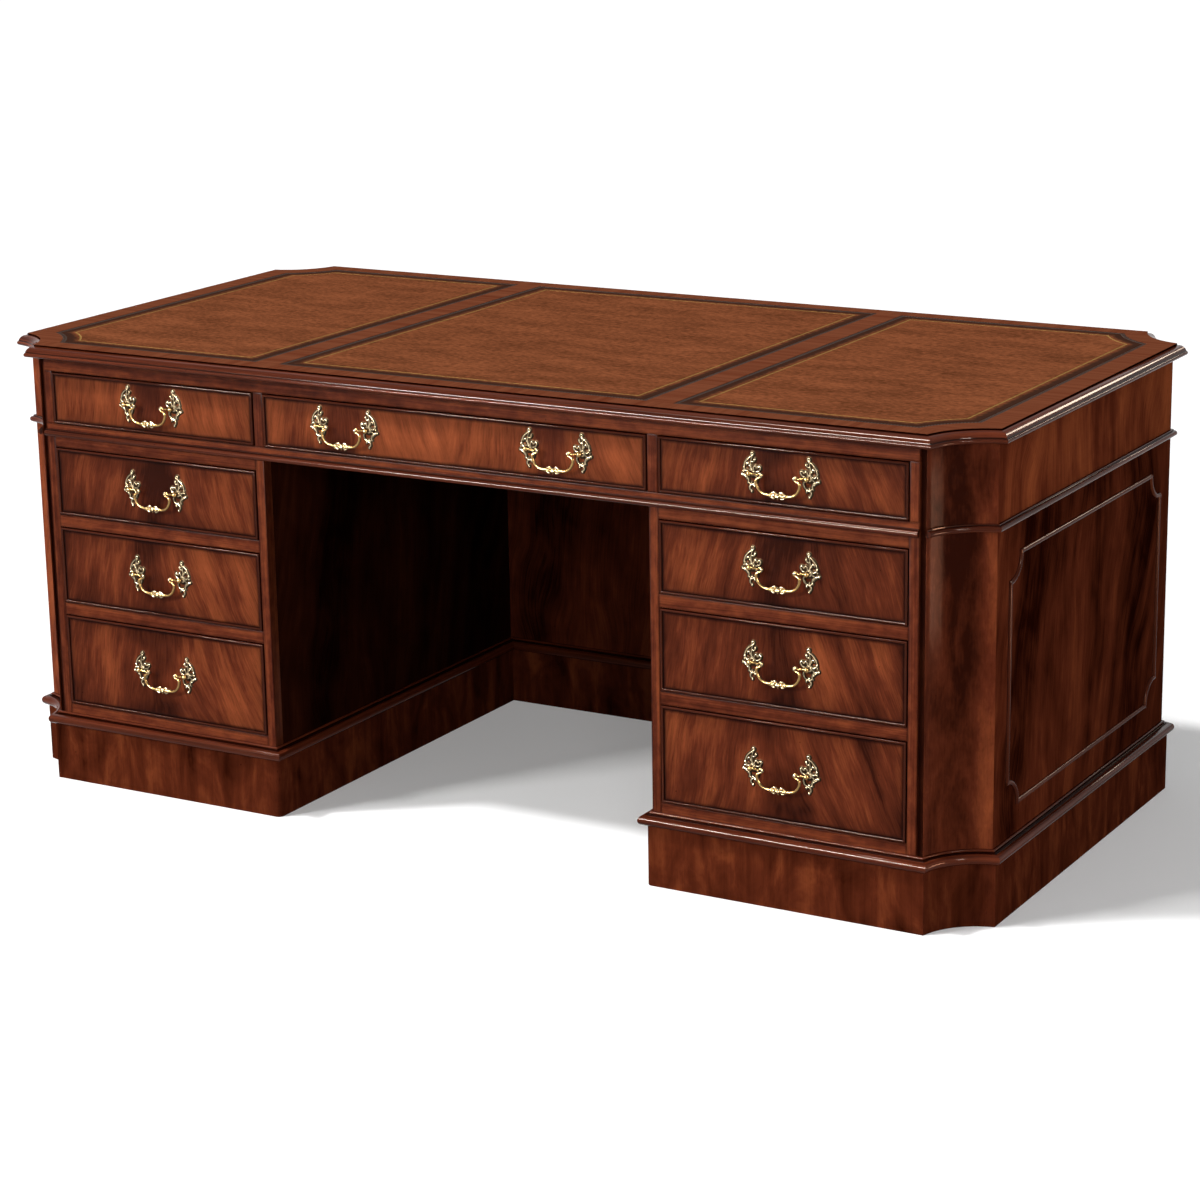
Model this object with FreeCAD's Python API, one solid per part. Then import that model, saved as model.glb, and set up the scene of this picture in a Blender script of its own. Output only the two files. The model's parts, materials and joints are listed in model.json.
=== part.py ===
import FreeCAD, Part
import math
import os

# A kneehole pedestal desk with a leather-lined top, scooped corners and swan-neck brass handles.
# Millimetres. X runs to the right as seen from the drawer side, Y to the back, Z up.
# The origin is on the floor under the middle of the desk, and the drawers face -Y.

V = FreeCAD.Vector

# Plan sizes
KNEEHOLE_WIDTH = 716.0
DRAWER_OPENING_WIDTH = 416.0
BODY_DEPTH = 880.0
STILE_WIDTH = 16.0
PARTITION_WIDTH = 18.0
GROOVE_WIDTH = 10.0
GROOVE_DEPTH = 6.0
SCOOP_LEG = 79.0
SCOOP_SAGITTA = 15.0

# Heights, from the floor up
PLINTH_HEIGHT = 100.0
BOTTOM_RAIL = 37.0
BOTTOM_DRAWER_HEIGHT = 160.0
MIDDLE_DRAWER_HEIGHT = 134.0
TOP_DRAWER_HEIGHT = 118.0
RAIL_HEIGHT = 21.0
FRIEZE_BOTTOM_RAIL = 19.0
FRIEZE_DRAWER_HEIGHT = 90.0
FRIEZE_TOP_RAIL = 24.0
TOP_THICKNESS = 20.0

# Board thicknesses
FRAME_THICKNESS = 20.0
SIDE_THICKNESS = 18.0
INNER_SIDE_THICKNESS = 16.0
BACK_THICKNESS = 20.0
BOARD_THICKNESS = 18.0
DUST_BOARD_THICKNESS = 12.0
GUIDE_HEIGHT = 20.0
POST_LAP = 35.0
POST_DEPTH = 60.0

# Plinths and modesty panel
PLINTH_PROUD = 8.0
PLINTH_THICKNESS = 20.0
MODESTY_SETBACK = 131.0
MODESTY_THICKNESS = 18.0

# Top, leathers and their mahogany crossbands
TOP_OVERHANG = 20.0
EDGE_WIDTH = 15.0
EDGE_BEAD_HEIGHT = 7.2
EDGE_BEAD_PROUD = 2.4
EDGE_FILLET = 0.7
QUIRK_DEPTH = 2.0
LEATHER_THICKNESS = 2.0
CROSSBAND_ENDS = 42.0
CROSSBAND_FRONT = 33.0
CROSSBAND_BETWEEN = 46.0
CENTRE_LEATHER_WIDTH = 680.0

# Mouldings
ASTRAGAL_HEIGHT = 12.0
ASTRAGAL_PROUD = 9.0
ASTRAGAL_FILLET = 4.0
ASTRAGAL_LAP = 2.0
BASE_MOULDING_HEIGHT = 21.0
BASE_MOULDING_PROUD = 18.0
BASE_BEAD = 4.0
BASE_FILLET_PROUD = 6.0
BASE_FILLET_HEIGHT = 2.0
BASE_FOOT = 3.0
PANEL_BEAD_WIDTH = 8.0
PANEL_BEAD_PROUD = 4.0
PANEL_BEAD_MARGIN = 49.0
PANEL_CORNER_RADIUS = 40.0

# Drawers
DRAWER_LENGTH = 560.0
DRAWER_GAP = 1.5
DRAWER_FRONT_THICKNESS = 20.0
DRAWER_SIDE_THICKNESS = 12.0
DRAWER_BOTTOM_THICKNESS = 6.0
DRAWER_BOTTOM_RISE = 8.0
DRAWER_HEADROOM = 14.0
DOVETAIL_PITCH = 32.0
DOVETAIL_LENGTH = 10.0
DOVETAIL_ROOT_SHARE = 0.5
DOVETAIL_TIP_SHARE = 0.66
RUNNER_PLAY = 0.3
COCKBEAD_WIDTH = 4.0
COCKBEAD_DEPTH = 10.0
COCKBEAD_PROUD = 2.5

# Handles
POST_SPACING = 95.0
HANDLE_RISE = 4.0
CENTRE_HANDLE_OFFSET = 196.0
PLATE_WIDTH = 33.0
PLATE_HEIGHT = 62.0
PLATE_THICKNESS = 1.8
PLATE_BOSS_RADIUS = 5.4
SCROLL_WIDTH = 2.4
BUD_RADIUS = 2.3
CREST_RADIUS = 3.4
CREST_HOLE_RADIUS = 1.3
POST_RADIUS = 2.5
POST_HOLE_PLAY = 0.1
POST_STANDOFF = 9.0
POST_COLLAR_RADIUS = 4.2
POST_COLLAR_HEIGHT = 2.0
BALL_RADIUS = 4.8
NUT_RADIUS = 5.0
NUT_THICKNESS = 4.0
PIN_RADIUS = 1.5
PIN_PLAY = 0.05
PIN_END_PLAY = 0.6
BAIL_PLAY = 0.4
BAIL_ROD_RADIUS = 2.4
BAIL_COLLAR_RADIUS = 2.4
BAIL_COLLAR_LENGTH = 4.5
BAIL_DROP = 34.0
BAIL_KNOP_RADIUS = 2.9
NECK_ROD_RADIUS = 1.4
NECK_RISE_TURN = 40.0
NECK_RISE_RADIUS = 3.5
NECK_DIP_RADIUS = 2.0
NECK_LOOP_TURN = 220.0
NECK_LOOP_RADIUS = 3.0
NECK_SLOPE_LENGTH = 4.0
NECK_FOOT_TURN = 70.0
NECK_FOOT_RADIUS = 5.0
LEAF_HALF_LENGTH = 14.0
LEAF_RADIUS = 4.6
LEAF_NOTCH = 2.6
LEAF_NOTCH_RADIUS = 3.3
LEAF_SHOULDER = 7.5
LEAF_SHOULDER_RADIUS = 4.4
LEAF_CURL_RADIUS = 1.9

# Levels
PEDESTAL_TOP = (PLINTH_HEIGHT + BOTTOM_RAIL + BOTTOM_DRAWER_HEIGHT + MIDDLE_DRAWER_HEIGHT
                + TOP_DRAWER_HEIGHT + 3 * RAIL_HEIGHT)
FRIEZE_OPENING = PEDESTAL_TOP + FRIEZE_BOTTOM_RAIL
FRIEZE_TOP = FRIEZE_OPENING + FRIEZE_DRAWER_HEIGHT + FRIEZE_TOP_RAIL
HEIGHT = FRIEZE_TOP + TOP_THICKNESS
BOTTOM_OPENING = PLINTH_HEIGHT + BOTTOM_RAIL
MIDDLE_OPENING = BOTTOM_OPENING + BOTTOM_DRAWER_HEIGHT + RAIL_HEIGHT
TOP_OPENING = MIDDLE_OPENING + MIDDLE_DRAWER_HEIGHT + RAIL_HEIGHT

# Lines in plan
KNEE = KNEEHOLE_WIDTH / 2
OPENING_INNER = KNEE + STILE_WIDTH
OPENING_OUTER = OPENING_INNER + DRAWER_OPENING_WIDTH
STILE_OUTER = OPENING_OUTER + STILE_WIDTH
HALF_X = STILE_OUTER + GROOVE_WIDTH + SCOOP_LEG
HALF_Y = BODY_DEPTH / 2
CENTRE_OPENING = OPENING_INNER - PARTITION_WIDTH
FRAME_BACK = -HALF_Y + FRAME_THICKNESS
CASE_BACK = HALF_Y - BACK_THICKNESS
MODESTY_FRONT = HALF_Y - MODESTY_SETBACK
MODESTY_BACK = MODESTY_FRONT + MODESTY_THICKNESS

# The scooped corners: every outline round the desk is an offset of the body's, with the same centre
HALF_CHORD = SCOOP_LEG / math.sqrt(2)
SCOOP_RADIUS = HALF_CHORD ** 2 / (2 * SCOOP_SAGITTA) + SCOOP_SAGITTA / 2
SCOOP_OUT = (SCOOP_RADIUS - SCOOP_SAGITTA - HALF_CHORD) / math.sqrt(2)
SCOOP_CENTRE = V(HALF_X + SCOOP_OUT, -HALF_Y - SCOOP_OUT, 0)


def leg(offset):
    """Length that the scoop takes off each side of an outline this far outside the body."""
    return math.sqrt((SCOOP_RADIUS - offset) ** 2 - (SCOOP_OUT - offset) ** 2) - (SCOOP_OUT - offset)


def front_arris(offset):
    return V(HALF_X + offset - leg(offset), -HALF_Y - offset, 0)


def side_arris(offset):
    return V(HALF_X + offset, -HALF_Y - offset + leg(offset), 0)


def scoop_bottom(offset):
    depth = (SCOOP_RADIUS - offset) / math.sqrt(2)
    return SCOOP_CENTRE + V(-depth, depth, 0)


# Building tools

def box(x0, x1, y0, y1, z0, z1):
    return Part.makeBox(x1 - x0, y1 - y0, z1 - z0, V(x0, y0, z0))


def prism(corners, z0, z1):
    """Upright solid on a plan polygon."""
    points = [V(p.x, p.y, z0) for p in corners]
    return Part.Face(Part.makePolygon(points + points[:1])).extrude(V(0, 0, z1 - z0))


def section(path, place):
    """Closed face. The first entry is a point, each next one a point or an arc's (through, end)."""
    edges = []
    here = path[0]
    for step in path[1:] + path[:1]:
        if isinstance(step[0], tuple):
            through, there = step
            edges.append(Part.Arc(place(*here), place(*through), place(*there)).toShape())
        else:
            there = step
            edges.append(Part.makeLine(place(*here), place(*there)))
        here = there
    return Part.Face(Part.Wire(edges))


def path_points(path):
    flat = []
    for step in path:
        flat.extend(step if isinstance(step[0], tuple) else [step])
    return flat


def mirror_x(shape):
    return shape.mirror(V(0, 0, 0), V(1, 0, 0))


def mirror_y(shape):
    return shape.mirror(V(0, 0, 0), V(0, 1, 0))


def both_sides(shapes):
    return shapes + [mirror_x(shape) for shape in shapes]


def four_corners(shape):
    return both_sides([shape, mirror_y(shape)])


def scoop_mitre(reach):
    """How far a scooped corner's arris runs along the side for each millimetre outwards."""
    return (front_arris(reach).x - front_arris(0).x) / reach


def moulding_run(path, start, end, mitre_start, mitre_end):
    """Straight moulding on the right-hand side of the way from start to end, with mitred ends.

    The section is drawn as (distance out, height), and a mitre is the way that the end moves
    forward for each millimetre outwards.
    """
    along = (end - start).normalize()
    outward = V(along.y, -along.x, 0)
    depths = [p[0] for p in path_points(path)]
    heights = [p[1] for p in path_points(path)]
    inner, outer = min(depths), max(depths)
    spare = 2 * outer
    base = start - along * spare
    solid = section(path, lambda d, z: base + outward * d + V(0, 0, z)).extrude(
        along * (start.distanceToPoint(end) + 2 * spare))
    plan = [start + outward * inner + along * (mitre_start * inner),
            end + outward * inner + along * (mitre_end * inner),
            end + outward * outer + along * (mitre_end * outer),
            start + outward * outer + along * (mitre_start * outer)]
    return solid.common(prism(plan, min(heights) - spare, max(heights) + spare))


def moulding_corner(path):
    """The same section turned round the front right scoop, between its two mitres."""
    outer = max(p[0] for p in path_points(path))
    heights = [p[1] for p in path_points(path)]
    slope = scoop_mitre(outer)
    start = V(0, 1, 0)
    face = section(path, lambda d, z: SCOOP_CENTRE + start * (SCOOP_RADIUS - d) + V(0, 0, z))
    solid = face.revolve(SCOOP_CENTRE, V(0, 0, 1), 90)
    front, side = front_arris(0), side_arris(0)
    inner = -3 * SCOOP_SAGITTA
    plan = [front + V(slope * inner, -inner, 0), front + V(slope * outer, -outer, 0),
            side + V(outer, -slope * outer, 0), side + V(inner, -slope * inner, 0)]
    return solid.common(prism(plan, min(heights) - outer, max(heights) + outer))


def scooped_board(offset, z0, z1):
    """Board on the body's outline, set out by this much, with its four scooped corners."""
    front, side, bottom = front_arris(offset), side_arris(offset), scoop_bottom(offset)
    signs = [(1, 1), (1, -1), (-1, -1), (-1, 1)]
    edges = []
    last = V(-front.x, front.y, 0)
    for sx, sy in signs:
        turn = [front, bottom, side] if sx == sy else [side, bottom, front]
        a, b, c = [V(p.x * sx, p.y * sy, 0) for p in turn]
        edges.append(Part.makeLine(last, a))
        edges.append(Part.Arc(a, b, c).toShape())
        last = c
    face = Part.Face(Part.Wire(edges))
    face.translate(V(0, 0, z0))
    return face.extrude(V(0, 0, z1 - z0))


def save(node, solids):
    """Writes a node's solids, one or a group, to its own STEP file."""
    shape = solids[0] if len(solids) == 1 else Part.makeCompound(solids)
    shape.exportStep("parts/" + node + ".step")


# The top

def edge_path():
    """Quirk, ovolo, fillet and bead of the top's edge."""
    tip = TOP_OVERHANG
    inner = tip - EDGE_WIDTH
    quirk = HEIGHT - QUIRK_DEPTH
    bead = FRIEZE_TOP + EDGE_BEAD_HEIGHT
    fillet = tip - EDGE_BEAD_PROUD
    foot = bead + EDGE_FILLET
    run, drop = fillet - inner, quirk - foot
    radius = (run ** 2 + drop ** 2) / (2 * drop)
    half = math.atan2(drop, run)
    ovolo = ((inner + radius * math.sin(half), quirk - radius * (1 - math.cos(half))), (fillet, foot))
    nose = ((tip, FRIEZE_TOP + EDGE_BEAD_HEIGHT / 2), (fillet, FRIEZE_TOP))
    return [(inner, FRIEZE_TOP), (inner, quirk), ovolo, (fillet, bead), nose]


def leather_panels():
    """Centre and right leathers. The right one's outer corners follow the scoop."""
    floor = HEIGHT - LEATHER_THICKNESS
    panel_x = HALF_X + TOP_OVERHANG - EDGE_WIDTH - CROSSBAND_ENDS
    panel_y = HALF_Y + TOP_OVERHANG - EDGE_WIDTH - CROSSBAND_FRONT
    centre = box(-CENTRE_LEATHER_WIDTH / 2, CENTRE_LEATHER_WIDTH / 2, -panel_y, panel_y, floor, HEIGHT)
    right = box(CENTRE_LEATHER_WIDTH / 2 + CROSSBAND_BETWEEN, panel_x, -panel_y, panel_y, floor, HEIGHT)
    band = (CROSSBAND_ENDS + CROSSBAND_FRONT) / 2
    scoop = Part.makeCylinder(SCOOP_RADIUS - TOP_OVERHANG + EDGE_WIDTH + band, LEATHER_THICKNESS,
                              SCOOP_CENTRE + V(0, 0, floor))
    return centre, right.cut(scoop).cut(mirror_y(scoop))


def make_top():
    centre, right = leather_panels()
    left = mirror_x(right)
    panel = scooped_board(TOP_OVERHANG - EDGE_WIDTH, FRIEZE_TOP, HEIGHT)
    save("top_panel", [panel.cut(centre).cut(left).cut(right)])
    save("leather_left", [left])
    save("leather_centre", [centre])
    save("leather_right", [right])
    path = edge_path()
    slope = scoop_mitre(TOP_OVERHANG)
    front, side = front_arris(0), side_arris(0)
    front_run = moulding_run(path, V(-front.x, front.y, 0), front, -slope, slope)
    end_run = moulding_run(path, side, V(side.x, -side.y, 0), -slope, slope)
    save("top_edge_moulding", [front_run, mirror_y(front_run)] + both_sides([end_run])
         + four_corners(moulding_corner(path)))


# The frieze, which carries three drawers in a row

def frieze_stiles():
    low, high = FRIEZE_OPENING, FRIEZE_TOP - FRIEZE_TOP_RAIL
    inner = box(CENTRE_OPENING, OPENING_INNER, -HALF_Y, FRAME_BACK, low, high)
    outer = box(OPENING_OUTER, STILE_OUTER, -HALF_Y, FRAME_BACK, low, high)
    return both_sides([inner, outer])


def guide(z):
    """Batten behind the outer stile, on a dust board, that keeps a drawer's side straight."""
    return box(OPENING_OUTER, STILE_OUTER, FRAME_BACK, FRAME_BACK + DRAWER_LENGTH, z, z + GUIDE_HEIGHT)


def case_bottom(inner_x, z0, z1):
    """Board between the frame and the back, wide enough to meet the outer side between the posts."""
    outer = HALF_X - SIDE_THICKNESS
    front = side_arris(0).y
    plan = [V(inner_x, FRAME_BACK, 0), V(STILE_OUTER, FRAME_BACK, 0), V(STILE_OUTER, front, 0),
            V(outer, front, 0), V(outer, -front, 0), V(STILE_OUTER, -front, 0),
            V(STILE_OUTER, CASE_BACK, 0), V(inner_x, CASE_BACK, 0)]
    return prism(plan, z0, z1)


def make_frieze():
    rail_top = FRIEZE_TOP - FRIEZE_TOP_RAIL
    side = side_arris(0)
    bottom_rail = box(-STILE_OUTER, STILE_OUTER, -HALF_Y, FRAME_BACK, PEDESTAL_TOP, FRIEZE_OPENING)
    top_rail = box(-STILE_OUTER, STILE_OUTER, -HALF_Y, FRAME_BACK, rail_top, FRIEZE_TOP)
    save("frieze_face_frame", [bottom_rail, top_rail] + frieze_stiles())
    end = box(HALF_X - SIDE_THICKNESS, HALF_X, side.y, -side.y, PEDESTAL_TOP, FRIEZE_TOP)
    back = box(-STILE_OUTER, STILE_OUTER, CASE_BACK, HALF_Y, PEDESTAL_TOP, FRIEZE_TOP)
    save("frieze_panels", both_sides([end]) + [back])
    partition = box(CENTRE_OPENING, OPENING_INNER, FRAME_BACK, CASE_BACK, FRIEZE_OPENING, FRIEZE_TOP)
    save("frieze_partitions", both_sides([partition, guide(FRIEZE_OPENING)]))
    board = case_bottom(0, PEDESTAL_TOP, FRIEZE_OPENING)
    save("frieze_dust_board", both_sides([board]))


def corner_post(z0, z1):
    """Scooped post of the front right corner, with the groove that parts it from the stile."""
    front, side, bottom = front_arris(0), side_arris(0), scoop_bottom(0)
    floor = front.y + GROOVE_DEPTH
    path = [(front.x, front.y), ((bottom.x, bottom.y), (side.x, side.y)), (side.x - POST_LAP, side.y),
            (STILE_OUTER, -HALF_Y + POST_DEPTH), (STILE_OUTER, floor), (front.x, floor)]
    return section(path, lambda x, y: V(x, y, z0)).extrude(V(0, 0, z1 - z0))


def make_posts():
    save("corner_posts", four_corners(corner_post(PLINTH_HEIGHT, PEDESTAL_TOP))
         + four_corners(corner_post(PEDESTAL_TOP, FRIEZE_TOP)))


def make_astragal():
    """Fillet and bead that cover the joint between the frieze and the pedestals."""
    low = PEDESTAL_TOP - ASTRAGAL_LAP
    high = low + ASTRAGAL_HEIGHT
    bead = high - ASTRAGAL_LAP
    tip = ((ASTRAGAL_PROUD, (low + bead) / 2), (ASTRAGAL_FILLET, low))
    path = [(0, low), (0, high), (ASTRAGAL_FILLET, high), (ASTRAGAL_FILLET, bead), tip]
    slope = scoop_mitre(ASTRAGAL_PROUD)
    side = side_arris(0)
    front_run = moulding_run(path, V(-STILE_OUTER, -HALF_Y, 0), V(STILE_OUTER, -HALF_Y, 0), 0, 0)
    end_run = moulding_run(path, side, V(side.x, -side.y, 0), -slope, slope)
    save("astragal_moulding", [front_run, mirror_y(front_run)] + both_sides([end_run])
         + four_corners(moulding_corner(path)))


# The pedestals

def drawer_levels():
    """Bottom and height of each pedestal drawer's opening, from the top down."""
    return [("top", TOP_OPENING, TOP_DRAWER_HEIGHT), ("middle", MIDDLE_OPENING, MIDDLE_DRAWER_HEIGHT),
            ("bottom", BOTTOM_OPENING, BOTTOM_DRAWER_HEIGHT)]


def pedestal_case():
    side = side_arris(0)
    inner = box(KNEE, KNEE + INNER_SIDE_THICKNESS, FRAME_BACK, CASE_BACK, PLINTH_HEIGHT, PEDESTAL_TOP)
    outer = box(HALF_X - SIDE_THICKNESS, HALF_X, side.y, -side.y, PLINTH_HEIGHT, PEDESTAL_TOP)
    back = box(KNEE, STILE_OUTER, CASE_BACK, HALF_Y, PLINTH_HEIGHT, PEDESTAL_TOP)
    return [inner, outer, back]


def pedestal_frame():
    solids = [box(KNEE, OPENING_INNER, -HALF_Y, FRAME_BACK, PLINTH_HEIGHT, PEDESTAL_TOP),
              box(OPENING_OUTER, STILE_OUTER, -HALF_Y, FRAME_BACK, PLINTH_HEIGHT, PEDESTAL_TOP)]
    rail_top = PEDESTAL_TOP
    for _, bottom, height in drawer_levels():
        solids.append(box(OPENING_INNER, OPENING_OUTER, -HALF_Y, FRAME_BACK, bottom + height, rail_top))
        rail_top = bottom
    solids.append(box(OPENING_INNER, OPENING_OUTER, -HALF_Y, FRAME_BACK, PLINTH_HEIGHT, rail_top))
    return solids


def pedestal_boards():
    """Top, dust and bottom boards, with a guide batten for each drawer."""
    inner = KNEE + INNER_SIDE_THICKNESS
    solids = [case_bottom(inner, PEDESTAL_TOP - BOARD_THICKNESS, PEDESTAL_TOP)]
    for name, bottom, _ in drawer_levels():
        thickness = BOARD_THICKNESS if name == "bottom" else DUST_BOARD_THICKNESS
        solids.append(case_bottom(inner, bottom - thickness, bottom))
        solids.append(guide(bottom))
    return solids


def plinth():
    """Four boards and two scooped corner blocks round a pedestal's foot."""
    front, side, bottom = front_arris(PLINTH_PROUD), side_arris(PLINTH_PROUD), scoop_bottom(PLINTH_PROUD)
    inner = KNEE - PLINTH_PROUD
    front_board = box(inner, front.x, front.y, front.y + PLINTH_THICKNESS, 0, PLINTH_HEIGHT)
    side_board = box(side.x - PLINTH_THICKNESS, side.x, side.y, -side.y, 0, PLINTH_HEIGHT)
    inner_board = box(inner, inner + PLINTH_THICKNESS, front.y + PLINTH_THICKNESS,
                      -front.y - PLINTH_THICKNESS, 0, PLINTH_HEIGHT)
    path = [(front.x, front.y), ((bottom.x, bottom.y), (side.x, side.y)),
            (side.x - POST_LAP, side.y), (front.x, -HALF_Y + POST_DEPTH)]
    block = section(path, lambda x, y: V(x, y, 0)).extrude(V(0, 0, PLINTH_HEIGHT))
    return [front_board, mirror_y(front_board), side_board, inner_board, block, mirror_y(block)]


def make_pedestals():
    for node, solids in [("pedestal_case", pedestal_case()), ("pedestal_frame", pedestal_frame()),
                         ("pedestal_boards", pedestal_boards()), ("plinth", plinth())]:
        save("right_" + node, solids)
        save("left_" + node, [mirror_x(solid) for solid in solids])


def base_path():
    """Bead, fillet and torus over the plinth."""
    low = PLINTH_HEIGHT
    high = low + BASE_MOULDING_HEIGHT
    bead_low = high - BASE_BEAD
    fillet = BASE_FILLET_PROUD
    torus_high = bead_low - BASE_FILLET_HEIGHT
    foot = PLINTH_PROUD + BASE_FOOT
    bead = ((BASE_BEAD, (high + bead_low) / 2), (BASE_BEAD / 2, bead_low))
    torus = ((BASE_MOULDING_PROUD, (low + torus_high) / 2), (foot, low))
    return [(0, low), (0, high), (BASE_BEAD / 2, high), bead,
            (fillet, bead_low), (fillet, torus_high), torus]


def make_base_mouldings():
    path = base_path()
    slope = scoop_mitre(BASE_MOULDING_PROUD)
    front, side = front_arris(0), side_arris(0)
    front_run = moulding_run(path, V(KNEE, -HALF_Y, 0), front, -1, slope)
    end_run = moulding_run(path, side, V(side.x, -side.y, 0), -slope, slope)
    corner = moulding_corner(path)
    knee_run = moulding_run(path, V(KNEE, MODESTY_FRONT, 0), V(KNEE, -HALF_Y, 0), 1, 1)
    rear_run = moulding_run(path, V(KNEE, HALF_Y, 0), V(KNEE, MODESTY_BACK, 0), -1, -1)
    modesty_run = moulding_run(path, V(-KNEE, MODESTY_FRONT, 0), V(KNEE, MODESTY_FRONT, 0), 1, -1)
    modesty_rear = moulding_run(path, V(KNEE, MODESTY_BACK, 0), V(-KNEE, MODESTY_BACK, 0), 1, -1)
    pedestal = [front_run, mirror_y(front_run), end_run, corner, mirror_y(corner), knee_run, rear_run]
    save("base_mouldings", both_sides(pedestal) + [modesty_run, modesty_rear])


def make_modesty():
    save("modesty_panel", [box(-KNEE, KNEE, MODESTY_FRONT, MODESTY_BACK, PLINTH_HEIGHT, PEDESTAL_TOP)])
    reach = KNEE - PLINTH_PROUD
    save("modesty_plinth", [box(-reach, reach, MODESTY_FRONT - PLINTH_PROUD, MODESTY_BACK + PLINTH_PROUD,
                                0, PLINTH_HEIGHT)])


def bead_frame(width, height):
    """Applied bead with incurved corners, round the middle of the XY plane and standing up in Z."""
    half = PANEL_BEAD_WIDTH / 2
    path = [(-half, 0), ((0, PANEL_BEAD_PROUD), (half, 0))]
    x, y = width / 2, height / 2
    radius = PANEL_CORNER_RADIUS
    top = section(path, lambda d, z: V(-x + radius, y + d, z)).extrude(V(width - 2 * radius, 0, 0))
    side = section(path, lambda d, z: V(x + d, -y + radius, z)).extrude(V(0, height - 2 * radius, 0))
    corner = section(path, lambda d, z: V(x, y - radius - d, z)).revolve(V(x, y, 0), V(0, 0, 1), -90)
    return [top, mirror_y(top), side, mirror_x(side)] + four_corners(corner)


def make_panel_mouldings():
    low = PLINTH_HEIGHT + BASE_MOULDING_HEIGHT + PANEL_BEAD_MARGIN
    high = PEDESTAL_TOP - ASTRAGAL_LAP - PANEL_BEAD_MARGIN
    middle = (low + high) / 2
    end_width = -2 * (side_arris(0).y + PANEL_BEAD_MARGIN)
    back_width = STILE_OUTER - KNEE - 2 * PANEL_BEAD_MARGIN
    upright = FreeCAD.Rotation(V(1, 0, 0), 90)
    to_side = FreeCAD.Placement(V(HALF_X, 0, middle), FreeCAD.Rotation(V(0, 0, 1), 90) * upright)
    to_back = FreeCAD.Placement(V((KNEE + STILE_OUTER) / 2, HALF_Y, middle),
                                FreeCAD.Rotation(V(0, 0, 1), 180) * upright)
    solids = []
    for width, place in [(end_width, to_side), (back_width, to_back)]:
        for solid in bead_frame(width, high - low):
            solid.Placement = place * solid.Placement
            solids.append(solid)
    save("panel_mouldings", both_sides(solids))


# The drawers

def dovetails(x0, x1, z0, z1):
    """Tails of a drawer's two sides, which are lapped into the back of its front."""
    low, high = z0 + RUNNER_PLAY, z1 - DRAWER_HEADROOM
    shoulder = -HALF_Y + DRAWER_FRONT_THICKNESS
    tip = shoulder - DOVETAIL_LENGTH
    count = round((high - low) / DOVETAIL_PITCH)
    pitch = (high - low) / count
    root_half, tip_half = pitch * DOVETAIL_ROOT_SHARE / 2, pitch * DOVETAIL_TIP_SHARE / 2
    solids = []
    for x in (x0 + DRAWER_GAP, x1 - DRAWER_GAP - DRAWER_SIDE_THICKNESS):
        for index in range(count):
            z = low + (index + 0.5) * pitch
            path = [(shoulder, z - root_half), (shoulder, z + root_half),
                    (tip, z + tip_half), (tip, z - tip_half)]
            tail = section(path, lambda y, height: V(x, y, height))
            solids.append(tail.extrude(V(DRAWER_SIDE_THICKNESS, 0, 0)))
    return solids


def drawer_front(x0, x1, z0, z1, posts):
    """Front board with a cockbead let into its edges, bored for the handle posts."""
    left, right = x0 + DRAWER_GAP, x1 - DRAWER_GAP
    low, high = z0 + DRAWER_GAP, z1 - DRAWER_GAP
    back = -HALF_Y + DRAWER_FRONT_THICKNESS
    rebate = -HALF_Y - COCKBEAD_PROUD + COCKBEAD_DEPTH
    w = COCKBEAD_WIDTH
    board = box(left, right, rebate, back, low, high).fuse(
        box(left + w, right - w, -HALF_Y, rebate, low + w, high - w)).removeSplitter()
    board = board.cut(Part.makeCompound(dovetails(x0, x1, z0, z1)))
    for x, z in posts:
        board = board.cut(Part.makeCylinder(POST_RADIUS + POST_HOLE_PLAY, DRAWER_FRONT_THICKNESS,
                                            V(x, -HALF_Y, z), V(0, 1, 0)))
    nose = -HALF_Y - COCKBEAD_PROUD
    square = nose + w / 2
    path = [(0, rebate), (0, square), ((w / 2, nose), (w, square)), (w, rebate)]
    bottom = section(path, lambda d, y: V(left, y, low + d)).extrude(V(right - left, 0, 0))
    side = section(path, lambda d, y: V(left + d, y, low + w)).extrude(V(0, 0, high - low - 2 * w))
    top = bottom.translated(V(0, 0, high - low - w))
    return [board, bottom, top, side, side.translated(V(right - left - w, 0, 0))]


def drawer_box(x0, x1, z0, z1):
    """Dovetailed sides, back and bottom behind the front."""
    left, right = x0 + DRAWER_GAP, x1 - DRAWER_GAP
    low, high = z0 + RUNNER_PLAY, z1 - DRAWER_HEADROOM
    front = -HALF_Y + DRAWER_FRONT_THICKNESS
    back = front + DRAWER_LENGTH
    t = DRAWER_SIDE_THICKNESS
    floor = low + DRAWER_BOTTOM_RISE
    tails = dovetails(x0, x1, z0, z1)
    half = len(tails) // 2
    left_side = box(left, left + t, front, back, low, high).fuse(tails[:half]).removeSplitter()
    right_side = box(right - t, right, front, back, low, high).fuse(tails[half:]).removeSplitter()
    return [left_side, right_side, box(left + t, right - t, back - t, back, floor, high),
            box(left + t, right - t, front, back - t, floor, floor + DRAWER_BOTTOM_THICKNESS)]


# The handles

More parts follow.
